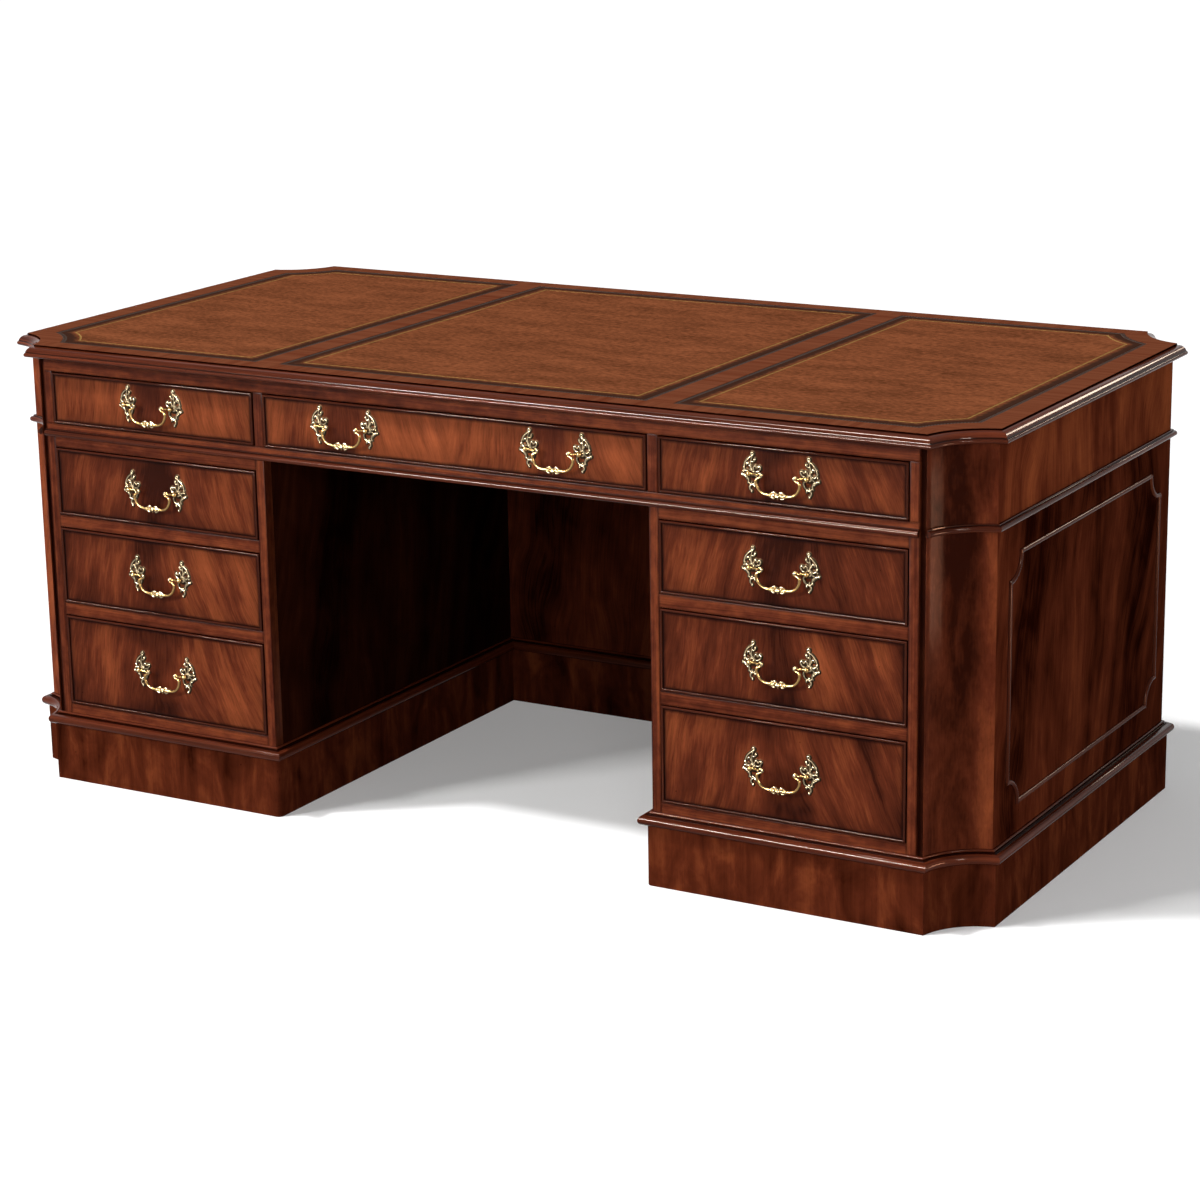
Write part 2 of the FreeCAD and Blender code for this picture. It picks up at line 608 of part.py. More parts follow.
# The rococo plate, seen from the front with its post at the origin and the other plate on the -X side.
# Points are shares of its width and height: C-scrolls as (start, through, end), then the round buds.
PLATE_SCROLLS = [((0.0, 0.08), (0.05, 0.23), (-0.03, 0.39)),
                 ((0.02, 0.27), (-0.07, 0.27), (-0.14, 0.31)),
                 ((0.02, 0.37), (0.27, 0.27), (0.38, 0.1)),
                 ((0.06, 0.07), (0.14, 0.21), (0.33, 0.18)),
                 ((0.1, 0.01), (0.27, 0.02), (0.38, 0.1)),
                 ((-0.08, 0.05), (-0.17, 0.15), (-0.27, 0.1)),
                 ((-0.26, 0.11), (-0.38, 0.16), (-0.43, 0.09)),
                 ((-0.42, 0.1), (-0.34, 0.02), (-0.1, 0.01)),
                 ((0.48, -0.07), (0.23, -0.13), (0.14, -0.27)),
                 ((0.1, -0.03), (0.2, -0.06), (0.27, -0.12)),
                 ((-0.08, -0.05), (-0.28, -0.16), (-0.1, -0.29)),
                 ((-0.1, -0.29), (0.02, -0.32), (0.14, -0.26)),
                 ((0.0, -0.31), (0.11, -0.39), (0.02, -0.46))]
PLATE_BUDS = [(-0.15, 0.31), (0.4, 0.1), (0.48, -0.07), (-0.13, -0.32), (0.01, -0.463)]
PLATE_CREST = (-0.03, 0.445)


def on_plate(share):
    return V(share[0] * PLATE_WIDTH, 0, share[1] * PLATE_HEIGHT)


def scroll(start, through, end):
    """Flat C-scroll with round ends, along an arc of the plate."""
    line = [on_plate(start), on_plate(through), on_plate(end)]
    arc = Part.Arc(*line).toShape()
    half = SCROLL_WIDTH / 2
    outward = [(point - arc.Curve.Center).normalize() * half for point in line]
    outer = [point + step for point, step in zip(line, outward)]
    inner = [point - step for point, step in zip(line, outward)]
    first_tip = line[0] - arc.tangentAt(arc.FirstParameter) * half
    last_tip = line[2] + arc.tangentAt(arc.LastParameter) * half
    edges = [Part.Arc(*outer), Part.Arc(outer[2], last_tip, inner[2]),
             Part.Arc(*reversed(inner)), Part.Arc(inner[0], first_tip, outer[0])]
    face = Part.Face(Part.Wire([edge.toShape() for edge in edges]))
    return face.extrude(V(0, -PLATE_THICKNESS, 0))


def backplate():
    """Pierced plate of scrolls, domed buds and a ring crest on the drawer's face, round a post."""
    forward = V(0, -1, 0)

    def disc(radius, centre):
        return Part.makeCylinder(radius, PLATE_THICKNESS, centre, forward)

    pieces = [scroll(*points) for points in PLATE_SCROLLS]
    pieces += [Part.makeSphere(BUD_RADIUS, on_plate(share), forward, 0, 90, 360) for share in PLATE_BUDS]
    crest = on_plate(PLATE_CREST)
    plate = disc(PLATE_BOSS_RADIUS, V(0, 0, 0)).fuse(pieces + [disc(CREST_RADIUS, crest)]).removeSplitter()
    return plate.cut(disc(CREST_HOLE_RADIUS, crest)).cut(disc(POST_RADIUS + POST_HOLE_PLAY, V(0, 0, 0)))


def ball_y():
    """Distance of the bail's axis in front of the drawer's face."""
    return -PLATE_THICKNESS - POST_STANDOFF


def ball_post():
    """Turned post through the plate and the front, with a ball head bored for the bail's pin."""
    axis = ball_y()
    base = -PLATE_THICKNESS
    neck = math.sqrt(BALL_RADIUS ** 2 - POST_RADIUS ** 2)
    end = DRAWER_FRONT_THICKNESS + NUT_THICKNESS
    path = [(0, end), (POST_RADIUS, end), (POST_RADIUS, base), (POST_COLLAR_RADIUS, base),
            (POST_RADIUS, base - POST_COLLAR_HEIGHT), (POST_RADIUS, axis + neck),
            ((BALL_RADIUS, axis), (0, axis - BALL_RADIUS))]
    post = section(path, lambda x, y: V(x, y, 0)).revolve(V(0, 0, 0), V(0, 1, 0), 360)
    bore = Part.makeCylinder(PIN_RADIUS + PIN_PLAY, BALL_RADIUS + PIN_END_PLAY, V(PIN_END_PLAY, axis, 0),
                             V(-1, 0, 0))
    return post.cut(bore)


def post_nut():
    turns = [math.radians(60 * i) for i in range(6)]
    corners = [V(NUT_RADIUS * math.cos(turn), NUT_RADIUS * math.sin(turn), 0) for turn in turns]
    bore = Part.makeCylinder(POST_RADIUS + POST_HOLE_PLAY, NUT_THICKNESS)
    nut = prism(corners, 0, NUT_THICKNESS).cut(bore)
    nut.rotate(V(0, 0, 0), V(1, 0, 0), -90)
    nut.translate(V(0, DRAWER_FRONT_THICKNESS, 0))
    return nut


def rod_end(radius, here, along):
    return Part.Face(Part.Wire(Part.makeCircle(radius, here, along)))


def swan_neck(start):
    """Looped rod from the pin's collar to the top of the arm, and the point where it ends."""
    dip_turn = NECK_RISE_TURN + NECK_LOOP_TURN - NECK_FOOT_TURN - 90
    steps = [(NECK_RISE_TURN, NECK_RISE_RADIUS), (-dip_turn, NECK_DIP_RADIUS),
             (NECK_LOOP_TURN, NECK_LOOP_RADIUS), (0, NECK_SLOPE_LENGTH),
             (-NECK_FOOT_TURN, NECK_FOOT_RADIUS)]
    here, heading = start, 180.0
    axis = V(0, -1, 0)

    def turned(vector, degrees):
        return FreeCAD.Rotation(axis, degrees).multVec(vector)

    solids = []
    for degrees, size in steps:
        along = turned(V(1, 0, 0), heading)
        disc = rod_end(NECK_ROD_RADIUS, here, along)
        if degrees:
            centre = here + turned(along, math.copysign(90, degrees)) * size
            solids.append(disc.revolve(centre, axis, degrees))
            here = centre + turned(here - centre, degrees)
        else:
            solids.append(disc.extrude(along * size))
            here = here + along * size
        heading += degrees
    return solids, here


def bail_leaf(low):
    """Lobed leaf in the middle of the bail, with two curls hanging from it."""
    end, r = LEAF_HALF_LENGTH, BAIL_ROD_RADIUS
    path = [(-end, 0), (-end, r),
            ((-LEAF_SHOULDER, LEAF_SHOULDER_RADIUS), (-LEAF_NOTCH, LEAF_NOTCH_RADIUS)),
            ((0, LEAF_RADIUS), (LEAF_NOTCH, LEAF_NOTCH_RADIUS)),
            ((LEAF_SHOULDER, LEAF_SHOULDER_RADIUS), (end, r)), (end, 0)]
    lobes = section(path, lambda x, d: V(x, 0, low + d)).revolve(V(0, 0, low), V(1, 0, 0), 360)
    curl = Part.makeSphere(LEAF_CURL_RADIUS, V(LEAF_SHOULDER, 0, low - LEAF_SHOULDER_RADIUS))
    return [lobes] + both_sides([curl])


def bail():
    """Swan-neck bail round its pin axis, hanging in the plane of the two ball heads."""
    low = -BAIL_DROP + LEAF_RADIUS
    collar_end = POST_SPACING / 2 - BALL_RADIUS - BAIL_PLAY
    collar = V(collar_end - BAIL_COLLAR_LENGTH, 0, 0)
    neck, top = swan_neck(collar)
    reach = top.z - low
    flat = top.x - reach
    arm = rod_end(BAIL_ROD_RADIUS, top, V(0, 0, 1)).revolve(V(flat, 0, top.z), V(0, 1, 0), 90)
    half = neck + [arm, Part.makeSphere(BAIL_KNOP_RADIUS, top),
                   Part.makeCylinder(BAIL_COLLAR_RADIUS, BAIL_COLLAR_LENGTH, collar, V(1, 0, 0)),
                   Part.makeCylinder(PIN_RADIUS, POST_SPACING / 2 - collar.x, collar, V(1, 0, 0))]
    bar = Part.makeCylinder(BAIL_ROD_RADIUS, 2 * flat, V(-flat, 0, low), V(1, 0, 0))
    return bar.fuse(bail_leaf(low) + both_sides(half)).removeSplitter()


def make_drawers():
    fitting = [backplate(), ball_post(), post_nut()]
    bail_shape = bail()
    half = POST_SPACING / 2
    drawers = [("frieze_centre", -CENTRE_OPENING, CENTRE_OPENING, FRIEZE_OPENING, FRIEZE_DRAWER_HEIGHT)]
    sides = [("left", -OPENING_OUTER, -OPENING_INNER), ("right", OPENING_INNER, OPENING_OUTER)]
    for hand, x0, x1 in sides:
        drawers.append(("frieze_" + hand, x0, x1, FRIEZE_OPENING, FRIEZE_DRAWER_HEIGHT))
        for level, bottom, height in drawer_levels():
            drawers.append((hand + "_" + level, x0, x1, bottom, height))
    for name, x0, x1, z0, height in drawers:
        middle = (x0 + x1) / 2
        pivot_z = z0 + height / 2 + HANDLE_RISE
        if name == "frieze_centre":
            handles = [("frieze_centre_left", middle - CENTRE_HANDLE_OFFSET),
                       ("frieze_centre_right", middle + CENTRE_HANDLE_OFFSET)]
        else:
            handles = [(name, middle)]
        posts = []
        fittings = []
        for handle, x in handles:
            for side in (-1, 1):
                posts.append((x + side * half, pivot_z))
                place = V(x + side * half, -HALF_Y, pivot_z)
                for piece in fitting:
                    handed = piece if side > 0 else mirror_x(piece)
                    fittings.append(handed.translated(place))
            save(handle + "_bail", [bail_shape.translated(V(x, -HALF_Y + ball_y(), pivot_z))])
        save(name + "_drawer_front", drawer_front(x0, x1, z0, z0 + height, posts))
        save(name + "_drawer_box", drawer_box(x0, x1, z0, z0 + height))
        save(name + "_handle_plates", fittings)


os.makedirs("parts", exist_ok=True)
make_top()
make_frieze()
make_posts()
make_astragal()
make_pedestals()
make_base_mouldings()
make_modesty()
make_panel_mouldings()
make_drawers()
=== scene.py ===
"""A kneehole pedestal desk in polished mahogany, tooled leather and antique brass.

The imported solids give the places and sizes. Each operator makes one group of like pieces around
them, and each finish is one function. Lengths are metres, and the drawers face -Y.
"""
import json
import math
import random

import bmesh
import bpy
from bpy.props import FloatProperty, FloatVectorProperty, PointerProperty
from mathutils import Matrix, Vector

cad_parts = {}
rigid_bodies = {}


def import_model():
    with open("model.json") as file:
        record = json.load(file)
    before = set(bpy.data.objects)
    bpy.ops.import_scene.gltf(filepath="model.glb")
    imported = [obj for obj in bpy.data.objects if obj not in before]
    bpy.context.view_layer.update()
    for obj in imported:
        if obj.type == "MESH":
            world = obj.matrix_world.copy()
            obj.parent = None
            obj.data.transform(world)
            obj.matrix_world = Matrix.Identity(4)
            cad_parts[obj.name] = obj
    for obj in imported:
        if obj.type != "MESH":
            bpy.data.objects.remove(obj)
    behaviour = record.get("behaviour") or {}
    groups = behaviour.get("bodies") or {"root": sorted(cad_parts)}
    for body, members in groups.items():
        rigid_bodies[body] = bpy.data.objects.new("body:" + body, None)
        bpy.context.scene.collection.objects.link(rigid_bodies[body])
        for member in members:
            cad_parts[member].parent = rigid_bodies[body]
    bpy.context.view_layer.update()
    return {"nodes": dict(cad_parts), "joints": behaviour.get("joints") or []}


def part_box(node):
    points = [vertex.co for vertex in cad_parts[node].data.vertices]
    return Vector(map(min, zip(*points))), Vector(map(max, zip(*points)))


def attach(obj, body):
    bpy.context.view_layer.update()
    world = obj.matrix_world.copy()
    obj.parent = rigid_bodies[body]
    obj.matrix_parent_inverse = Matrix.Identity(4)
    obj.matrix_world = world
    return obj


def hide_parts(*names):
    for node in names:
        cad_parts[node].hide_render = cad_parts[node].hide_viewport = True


bl_info = {
    "name": "Pedestal Desk",
    "version": (1, 0, 0),
    "blender": (4, 5, 0),
    "location": "View3D > Sidebar > Desk",
    "description": "Dresses a kneehole pedestal desk in mahogany, leather and brass",
    "category": "Add Mesh",
}

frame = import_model()
MM = 0.001


def low(node):
    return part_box(node)[0]


def high(node):
    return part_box(node)[1]


# Lines and levels of the frame
HALF_X, HALF_Y, FRIEZE_TOP = high("corner_posts")
PLINTH_TOP = low("corner_posts").z
PEDESTAL_TOP = high("right_pedestal_case").z
DESK_TOP = high("top_panel").z
KNEE = low("right_pedestal_frame").x
STILE_OUTER, FRAME_BACK = high("right_pedestal_frame").xy
CENTRE_OPENING = high("frieze_centre_drawer_front").x
SCOOP_LEG = HALF_Y + low("frieze_panels").y
CASE_BACK = high("right_pedestal_boards").y
MODESTY_FRONT, MODESTY_BACK = low("modesty_panel").y, high("modesty_panel").y
PLINTH_PROUD = high("right_plinth").x - HALF_X
EDGE_TIP = high("top_edge_moulding").x - HALF_X
EDGE_ROOT = high("top_panel").x - HALF_X
CORNERS = ((1, -1), (1, 1), (-1, 1), (-1, -1))
SIDES = (("left", -1), ("right", 1))
LEVELS = ("top", "middle", "bottom")
LEATHERS = ("leather_left", "leather_centre", "leather_right")
SIDE_DRAWERS = [side + "_" + level for side, _ in SIDES for level in LEVELS]
DRAWERS = ["frieze_left", "frieze_centre", "frieze_right"] + SIDE_DRAWERS
INNER_BOARDS = ("frieze_partitions", "frieze_dust_board", "left_pedestal_boards", "right_pedestal_boards")

# Axes that a board's grain may follow
ALONG_X, ALONG_Y, UPRIGHT = 0, 1, 2


def length(name, description, default):
    return FloatProperty(name=name, description=description, default=default, unit="LENGTH", precision=4)


def colour(name, description, default):
    return FloatVectorProperty(name=name, description=description, default=default, size=3,
                               subtype="COLOR", min=0, max=1)


def angle(name, description, degrees):
    return FloatProperty(name=name, description=description, default=math.radians(degrees), subtype="ANGLE")


class DeskSizes(bpy.types.PropertyGroup):
    """Sizes of the joiner's and the brass founder's detail."""
    scoop_depth: length("Scoop depth", "Hollow of the corners below their chord", 0.015)
    groove_depth: length("Groove depth", "Groove between the front stiles and the columns", 0.006)
    arris: length("Arris", "Softening of the rails' and panels' edges", 0.0004)
    # Width of the painted shade along the rails' edges, beside the drawer gaps
    painted_shade_margin: length("Glaze margin", "Width of the darkened edge of the rails", 0.004)
    front_gap: length("Front gap", "Play round each drawer's front", 0.0015)
    case_thickness: length("Case thickness", "Boards of the outer sides", 0.018)
    knee_thickness: length("Knee thickness", "Boards beside the kneehole", 0.016)
    plinth_thickness: length("Plinth thickness", "Boards of the plinths", 0.020)
    plinth_arris: length("Plinth arris", "Softening of the plinth's corners", 0.0016)
    column_arris: length("Column arris", "Rounding of the columns' front edge", 0.003)
    quirk: length("Quirk", "Step between the top and its moulded edge", 0.0028)
    nose: length("Nose", "Height of the bead along the top's edge", 0.0072)
    nose_proud: length("Nose proud", "How far that bead stands out", 0.0024)
    cockbead: length("Cockbead", "Width of the bead round each drawer", 0.004)
    cockbead_depth: length("Cockbead depth", "Depth of that bead's strip", 0.010)
    panel_bead: length("Panel bead", "Width of the applied bead on the sides", 0.008)
    panel_corner: length("Panel corner", "Radius of the applied bead's hollow corners", 0.040)
    panel_margin: length("Panel margin", "Space between that bead and the panel's edge", 0.049)
    leather_thickness: length("Leather", "Thickness of the leathers", 0.002)
    tooled_strip: length("Tooled strip", "Width of the blind-tooled strip round each leather", 0.007)
    gold_line: length("Gold line", "Distance of the gold line from the leather's edge", 0.030)
    tool_pitch: length("Tool pitch", "Distance between the marks of the tooling wheel", 0.0052)
    mark_height: length("Mark height", "Height of those marks, which end level with the top", 0.0003)
    drawer_side: length("Drawer side", "Thickness of the drawers' sides", 0.012)
    drawer_bottom: length("Drawer bottom", "Thickness of the drawers' bottoms", 0.006)
    drawer_rise: length("Drawer rise", "Height of the bottoms above the sides' lower edge", 0.008)


class DeskColours(bpy.types.PropertyGroup):
    """Colours of the finishes, as light in a plain room shows them."""
    # The dark mahogany is also the colour that the painted shade darkens towards
    wood_dark: colour("Dark mahogany", "Figure and glaze", (0.013, 0.0018, 0.0006))
    wood_red: colour("Red mahogany", "Body of the wood", (0.098, 0.0196, 0.0078))
    wood_light: colour("Light mahogany", "Lightest streaks", (0.220, 0.0525, 0.0175))
    band: colour("Crossband", "Lighter bands round the leathers", (0.138, 0.0415, 0.0190))
    hide: colour("Hide", "Field of the leathers", (0.155, 0.0480, 0.0190))
    hide_dark: colour("Dark hide", "Border of the leathers", (0.034, 0.0145, 0.0095))
    hide_grey: colour("Tooled hide", "Blind-tooled strip", (0.074, 0.055, 0.046))
    gold: colour("Gold line", "Tooled line on the leathers", (0.26, 0.150, 0.045))
    brass: colour("Brass", "Rubbed brass of the plates", (0.25, 0.195, 0.120))
    brass_gold: colour("Gold brass", "Brass of the bails and posts", (0.20, 0.120, 0.044))
    brass_dark: colour("Dark brass", "Patina in the hollows", (0.014, 0.008, 0.004))
    oak: colour("Drawer wood", "Bare wood of the drawers and boards", (0.40, 0.24, 0.11))
    floor: colour("Floor", "Studio floor as it is seen", (1.0, 1.0, 1.0))
    floor_bounce: colour("Floor bounce", "Studio floor as it lights the desk", (0.30, 0.30, 0.30))


class DeskCamera(bpy.types.PropertyGroup):
    """The camera's stand."""
    eye: FloatVectorProperty(name="Eye", description="Place of the lens", default=(2.6391, -4.5243, 1.7372),
                             subtype="TRANSLATION", unit="LENGTH")
    azimuth: angle("Azimuth", "Turn round the desk from its front", 30.119)
    elevation: angle("Elevation", "Height above the horizon", 15.241)
    roll: angle("Roll", "Tilt of the horizon", -0.972)
    lens: FloatProperty(name="Lens", description="Focal length", default=95.18, unit="CAMERA")


# Lines

def arc(centre, radius, start, end, steps):
    """Points of a circular arc between two angles in radians."""
    turns = [start + (end - start) * i / steps for i in range(steps + 1)]
    return [centre + Vector((math.cos(t), math.sin(t))) * radius for t in turns]


def arc_through(a, b, c, steps):
    """Points of the arc from a through b to c."""
    a, b, c = Vector(a), Vector(b), Vector(c)
    d = 2 * ((a - c).x * (b - c).y - (b - c).x * (a - c).y)
    p, q = a.length_squared - c.length_squared, b.length_squared - c.length_squared
    centre = Vector((p * (b - c).y - q * (a - c).y, q * (a - c).x - p * (b - c).x)) / d
    start, middle, end = [math.atan2(*(v - centre).yx) for v in (a, b, c)]
    turn = (end - start) % (2 * math.pi)
    if (middle - start) % (2 * math.pi) > turn:
        turn -= 2 * math.pi
    return arc(centre, (a - centre).length, start, start + turn, steps)


def traced(path, steps=6):
    """Section as points: each entry after the first is a point, or the (through, end) of an arc."""
    points = [Vector(path[0])]
    for step in path[1:]:
        if isinstance(step[0], tuple):
            points += arc_through(points[-1], *step, steps)[1:]
        else:
            points.append(Vector(step))
    return points


def scoop_circle(depth):
    """Centre and radius of the back right corner's scoop."""
    half_chord = SCOOP_LEG / math.sqrt(2)
    radius = half_chord ** 2 / (2 * depth) + depth / 2
    out = (radius - depth - half_chord) / math.sqrt(2)
    return Vector((HALF_X + out, HALF_Y + out)), radius


def scoop(x, y, circle, steps=14):
    """Points of the hollow corner between the lines at x and y, from the back to the side."""
    centre, radius = circle
    start = math.atan2(y - centre.y, -math.sqrt(radius ** 2 - (centre.y - y) ** 2)) + 2 * math.pi
    end = math.atan2(-math.sqrt(radius ** 2 - (centre.x - x) ** 2), x - centre.x) + 2 * math.pi
    return arc(centre, radius, start, end, steps)


def turned_corner(points, sx, sy):
    """A back right corner's points moved to another corner, in anticlockwise order."""
    moved = [Vector((p.x * sx, p.y * sy)) for p in points]
    return moved if sx * sy < 0 else moved[::-1]


def body_outline(circle):
    corner = scoop(HALF_X, HALF_Y, circle)
    return [p for sx, sy in CORNERS for p in turned_corner(corner, sx, sy)]


def foot_outline(circle):
    """Line round both pedestals and the modesty panel between them."""
    corner = scoop(HALF_X, HALF_Y, circle)
    line = [Vector((-KNEE, MODESTY_FRONT)), Vector((KNEE, MODESTY_FRONT)), Vector((KNEE, -HALF_Y))]
    line += turned_corner(corner, 1, -1) + turned_corner(corner, 1, 1)
    line += [Vector((KNEE, HALF_Y)), Vector((KNEE, MODESTY_BACK)), Vector((-KNEE, MODESTY_BACK)),
             Vector((-KNEE, HALF_Y))]
    line += turned_corner(corner, -1, 1) + turned_corner(corner, -1, -1)
    return line + [Vector((-KNEE, -HALF_Y))]


def rectangle(x0, x1, y0, y1):
    return [Vector(p) for p in ((x0, y0), (x1, y0), (x1, y1), (x0, y1))]


def softened(points, chosen, radius, steps=3):
    """Closed line with some of its corners rounded."""
    line = []
    for i, p in enumerate(points):
        if i not in chosen:
            line.append(p)
            continue
        before, after = points[i - 1], points[(i + 1) % len(points)]
        a = p + (before - p).normalized() * radius
        b = p + (after - p).normalized() * radius
        for step in range(steps + 1):
            t = step / steps
            line.append(a * (1 - t) ** 2 + p * 2 * t * (1 - t) + b * t * t)
    return line


def mitred(points, ring):
    """Each point of a line, with the way that it moves as the line is set out to its right."""
    stations = []
    for i, p in enumerate(points):
        sides = []
        if ring or i > 0:
            sides.append(p - points[i - 1])
        if ring or i < len(points) - 1:
            sides.append(points[(i + 1) % len(points)] - p)
        normals = [Vector((s.y, -s.x)).normalized() for s in sides]
        out = normals[0] + normals[-1]
        stations.append((p, out * (2 / out.length_squared)))
    return stations


def distances(points, ring):
    """Length along a line at each of its points, and once round where it closes."""
    total = [0.0]
    for i in range(1, len(points) + ring):
        total.append(total[-1] + (points[i % len(points)] - points[i - 1]).length)
    return total


def smooth_line(points, steps):
    """Points of a curve through the given ones, which may carry more than two numbers."""
    ends = [points[0]] + points + [points[-1]]
    line = []
    for a, b, c, d in zip(ends, ends[1:], ends[2:], ends[3:]):
        for i in range(steps):
            t = i / steps
            line.append(0.5 * (2 * b + (c - a) * t + (2 * a - 5 * b + 4 * c - d) * t ** 2
                               + (3 * b - a - 3 * c + d) * t ** 3))
    return line + [points[-1]]


def plan(p, h):
    return Vector((p.x, p.y, h))


def front(p, h):
    return Vector((p.x, h, p.y))


# Meshes

class Shape:
    """Faces of one piece, with a grain map in metres and a tone for each point, which the finishes read as
    painted shade, painted light, wear or a distance.
    """

    def __init__(self):
        self.mesh = bmesh.new()
        self.grain = self.mesh.loops.layers.uv.new("grain")
        self.tone = self.mesh.verts.layers.float.new("tone")
        self.chance = random.Random(7)

    def shift(self):
        """A place of its own on the grain map for the next board."""
        return Vector((self.chance.uniform(0, 40), self.chance.uniform(0, 40)))

    def face(self, corners, maps):
        made = self.mesh.faces.new(corners)
        for loop, place in zip(made.loops, maps):
            loop[self.grain].uv = place

    def sweep(self, section, line, place=plan, ring=True, upright=False, tones=None, capped=False,
              still=False, spread=None):
        """Carries a section of (distance out, height) points along a line, with mitred corners.

        A capped sweep is closed by its first and last rows, and any other by its own section. A spread
        gives the line at each distance inwards where plain mitres would cross.
        """
        stations = mitred(line, ring)
        along, across = distances(line, ring), distances(section, not capped)
        shift = Vector((0, 0)) if still else self.shift()
        spots = [[p + m * d for p, m in stations] if spread is None else spread(-d) for d, _ in section]

        def mapped(i, j):
            spot = (across[i], along[j]) if upright else (along[j], across[i])
            return shift + Vector(spot)

        rows = []
        for i, (_, h) in enumerate(section):
            rows.append([self.mesh.verts.new(place(spot, h)) for spot in spots[i]])
            for vert in rows[-1]:
                vert[self.tone] = tones[i] if tones else 0.0
        count = len(rows)
        for i in range(count - 1 if capped else count):
            row, above = rows[i], rows[(i + 1) % count]
            for j in range(len(line) if ring else len(line) - 1):
                far = (j + 1) % len(line)
                self.face([row[j], row[far], above[far], above[j]],
                          [mapped(i, j), mapped(i, j + 1), mapped(i + 1, j + 1), mapped(i + 1, j)])
        if capped:
            for i in (0, -1):
                self.face(rows[i], [shift + (spot.yx if upright else spot) for spot in spots[i]])
        elif not ring:
            for j in (0, -1):
                self.face([row[j] for row in rows], [shift + s for s in section])

    def board(self, lowest, highest, along, arris, rim=0.0):
        """Board with softened edges and its grain along one axis.

        A rim is the width of the margin of painted shade round its front.
        """
        part = Shape()
        size = highest - lowest
        place = Matrix.Translation((lowest + highest) / 2) @ Matrix.Diagonal((*size, 1))
        bmesh.ops.create_cube(part.mesh, size=1, matrix=place)
        bmesh.ops.bevel(part.mesh, geom=part.mesh.edges[:], offset=arris, segments=2, profile=0.5,
                        affect="EDGES")
        # Painted shade: tone 1 round the front's edge, 0 on the inset face
        if rim:
            face = min(part.mesh.faces, key=lambda f: f.calc_center_median().y)
            for vert in part.mesh.verts:
                vert[part.tone] = 1.0
            bmesh.ops.inset_region(part.mesh, faces=[face], thickness=rim)
            for vert in face.verts:
                vert[part.tone] = 0.0
        shift = self.shift()
        for face in part.mesh.faces:
            flat = max(range(3), key=lambda axis: abs(face.normal[axis]))
            axes = sorted((axis for axis in range(3) if axis != flat), key=lambda axis: axis != along)
            for loop in face.loops:
                loop[part.grain].uv = shift + Vector([loop.vert.co[axis] for axis in axes])
        self.add(part)

    def add(self, other, matrix=None):
        spare = bpy.data.meshes.new("spare")
        other.mesh.to_mesh(spare)
        other.mesh.free()
        if matrix:
            spare.transform(matrix)
        self.mesh.from_mesh(spare)
        bpy.data.meshes.remove(spare)

    def tube(self, points, sides=10, depth=1.0, rub=0.0):
        """Round bar in a plane along (x, z, radius) points, flattened by depth, with rounded ends.

        Its tone is painted shade behind and on its sides, towards the drawer, and falls to minus the rub
        along its crest.
        """
        line = smooth_line([Vector(p) for p in points], 6)
        rings = []
        for i, p in enumerate(line):
            way = (line[min(i + 1, len(line) - 1)] - line[max(i - 1, 0)]).xy.normalized()
            rings.append((p.xy, Vector((way.y, -way.x)), p.z, way))
        head, tail = rings[0], rings[-1]
        for share, reach in ((0.92, 0.45), (0.6, 0.82)):
            rings.insert(0, (head[0] - head[3] * head[2] * reach, head[1], head[2] * share, head[3]))
            rings.append((tail[0] + tail[3] * tail[2] * reach, tail[1], tail[2] * share, tail[3]))
        rows = []
        # Painted shade on the bar's sides and back, towards the drawer
        side_shade = 0.55
        turns = [2 * math.pi * k / sides for k in range(sides)]
        for centre, side, radius, _ in rings:
            row = []
            for t in turns:
                spot = front(centre + side * radius * math.cos(t), -radius * depth * math.sin(t))
                row.append(self.mesh.verts.new(spot))
                row[-1][self.tone] = min(side_shade - math.sin(t) * (side_shade + rub), 1)
            rows.append(row)
        self.skin(rows)

    def skin(self, rows):
        """Closes rings of points into a tube with flat ends."""
        count = len(rows[0])
        for near, far in zip(rows, rows[1:]):
            for k in range(count):
                self.mesh.faces.new((near[k], near[(k + 1) % count], far[(k + 1) % count], far[k]))
        self.mesh.faces.new(rows[0])
        self.mesh.faces.new(rows[-1])

    def turning(self, section, sides=20):
        """Turned piece about the Y axis from (radius, y) points."""
        turns = [2 * math.pi * k / sides for k in range(sides)]
        rows = []
        for radius, y in section:
            ring = [(radius * math.cos(t), y, radius * math.sin(t)) for t in turns]
            rows.append([self.mesh.verts.new(spot) for spot in ring])
        self.skin(rows)

    def finish(self, name, crease=35):
        """The mesh, with its faces turned outwards and smooth up to the crease angle."""
        bmesh.ops.recalc_face_normals(self.mesh, faces=self.mesh.faces[:])
        made = bpy.data.meshes.new(name)
        self.mesh.to_mesh(made)
        self.mesh.free()
        made.shade_smooth()
        made.set_sharp_from_angle(angle=math.radians(crease))
        return made


def piece(name, mesh, finish, body, slot, *nodes):
    """Puts a mesh in the scene as a piece of the desk."""
    made = bpy.data.objects.new(name, mesh)
    bpy.context.scene.collection.objects.link(made)
    mesh.materials.clear()
    mesh.materials.append(finish)
    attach(made, body)
    if nodes:
        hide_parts(*nodes)


def carve(name, shape, finish, body, slot, *nodes):
    """Puts a shape in the scene as a piece of the desk, in one of the shared finishes."""
    piece(name, shape.finish(name), finish_of(finish), body, slot, *nodes)


# Geometry node trees

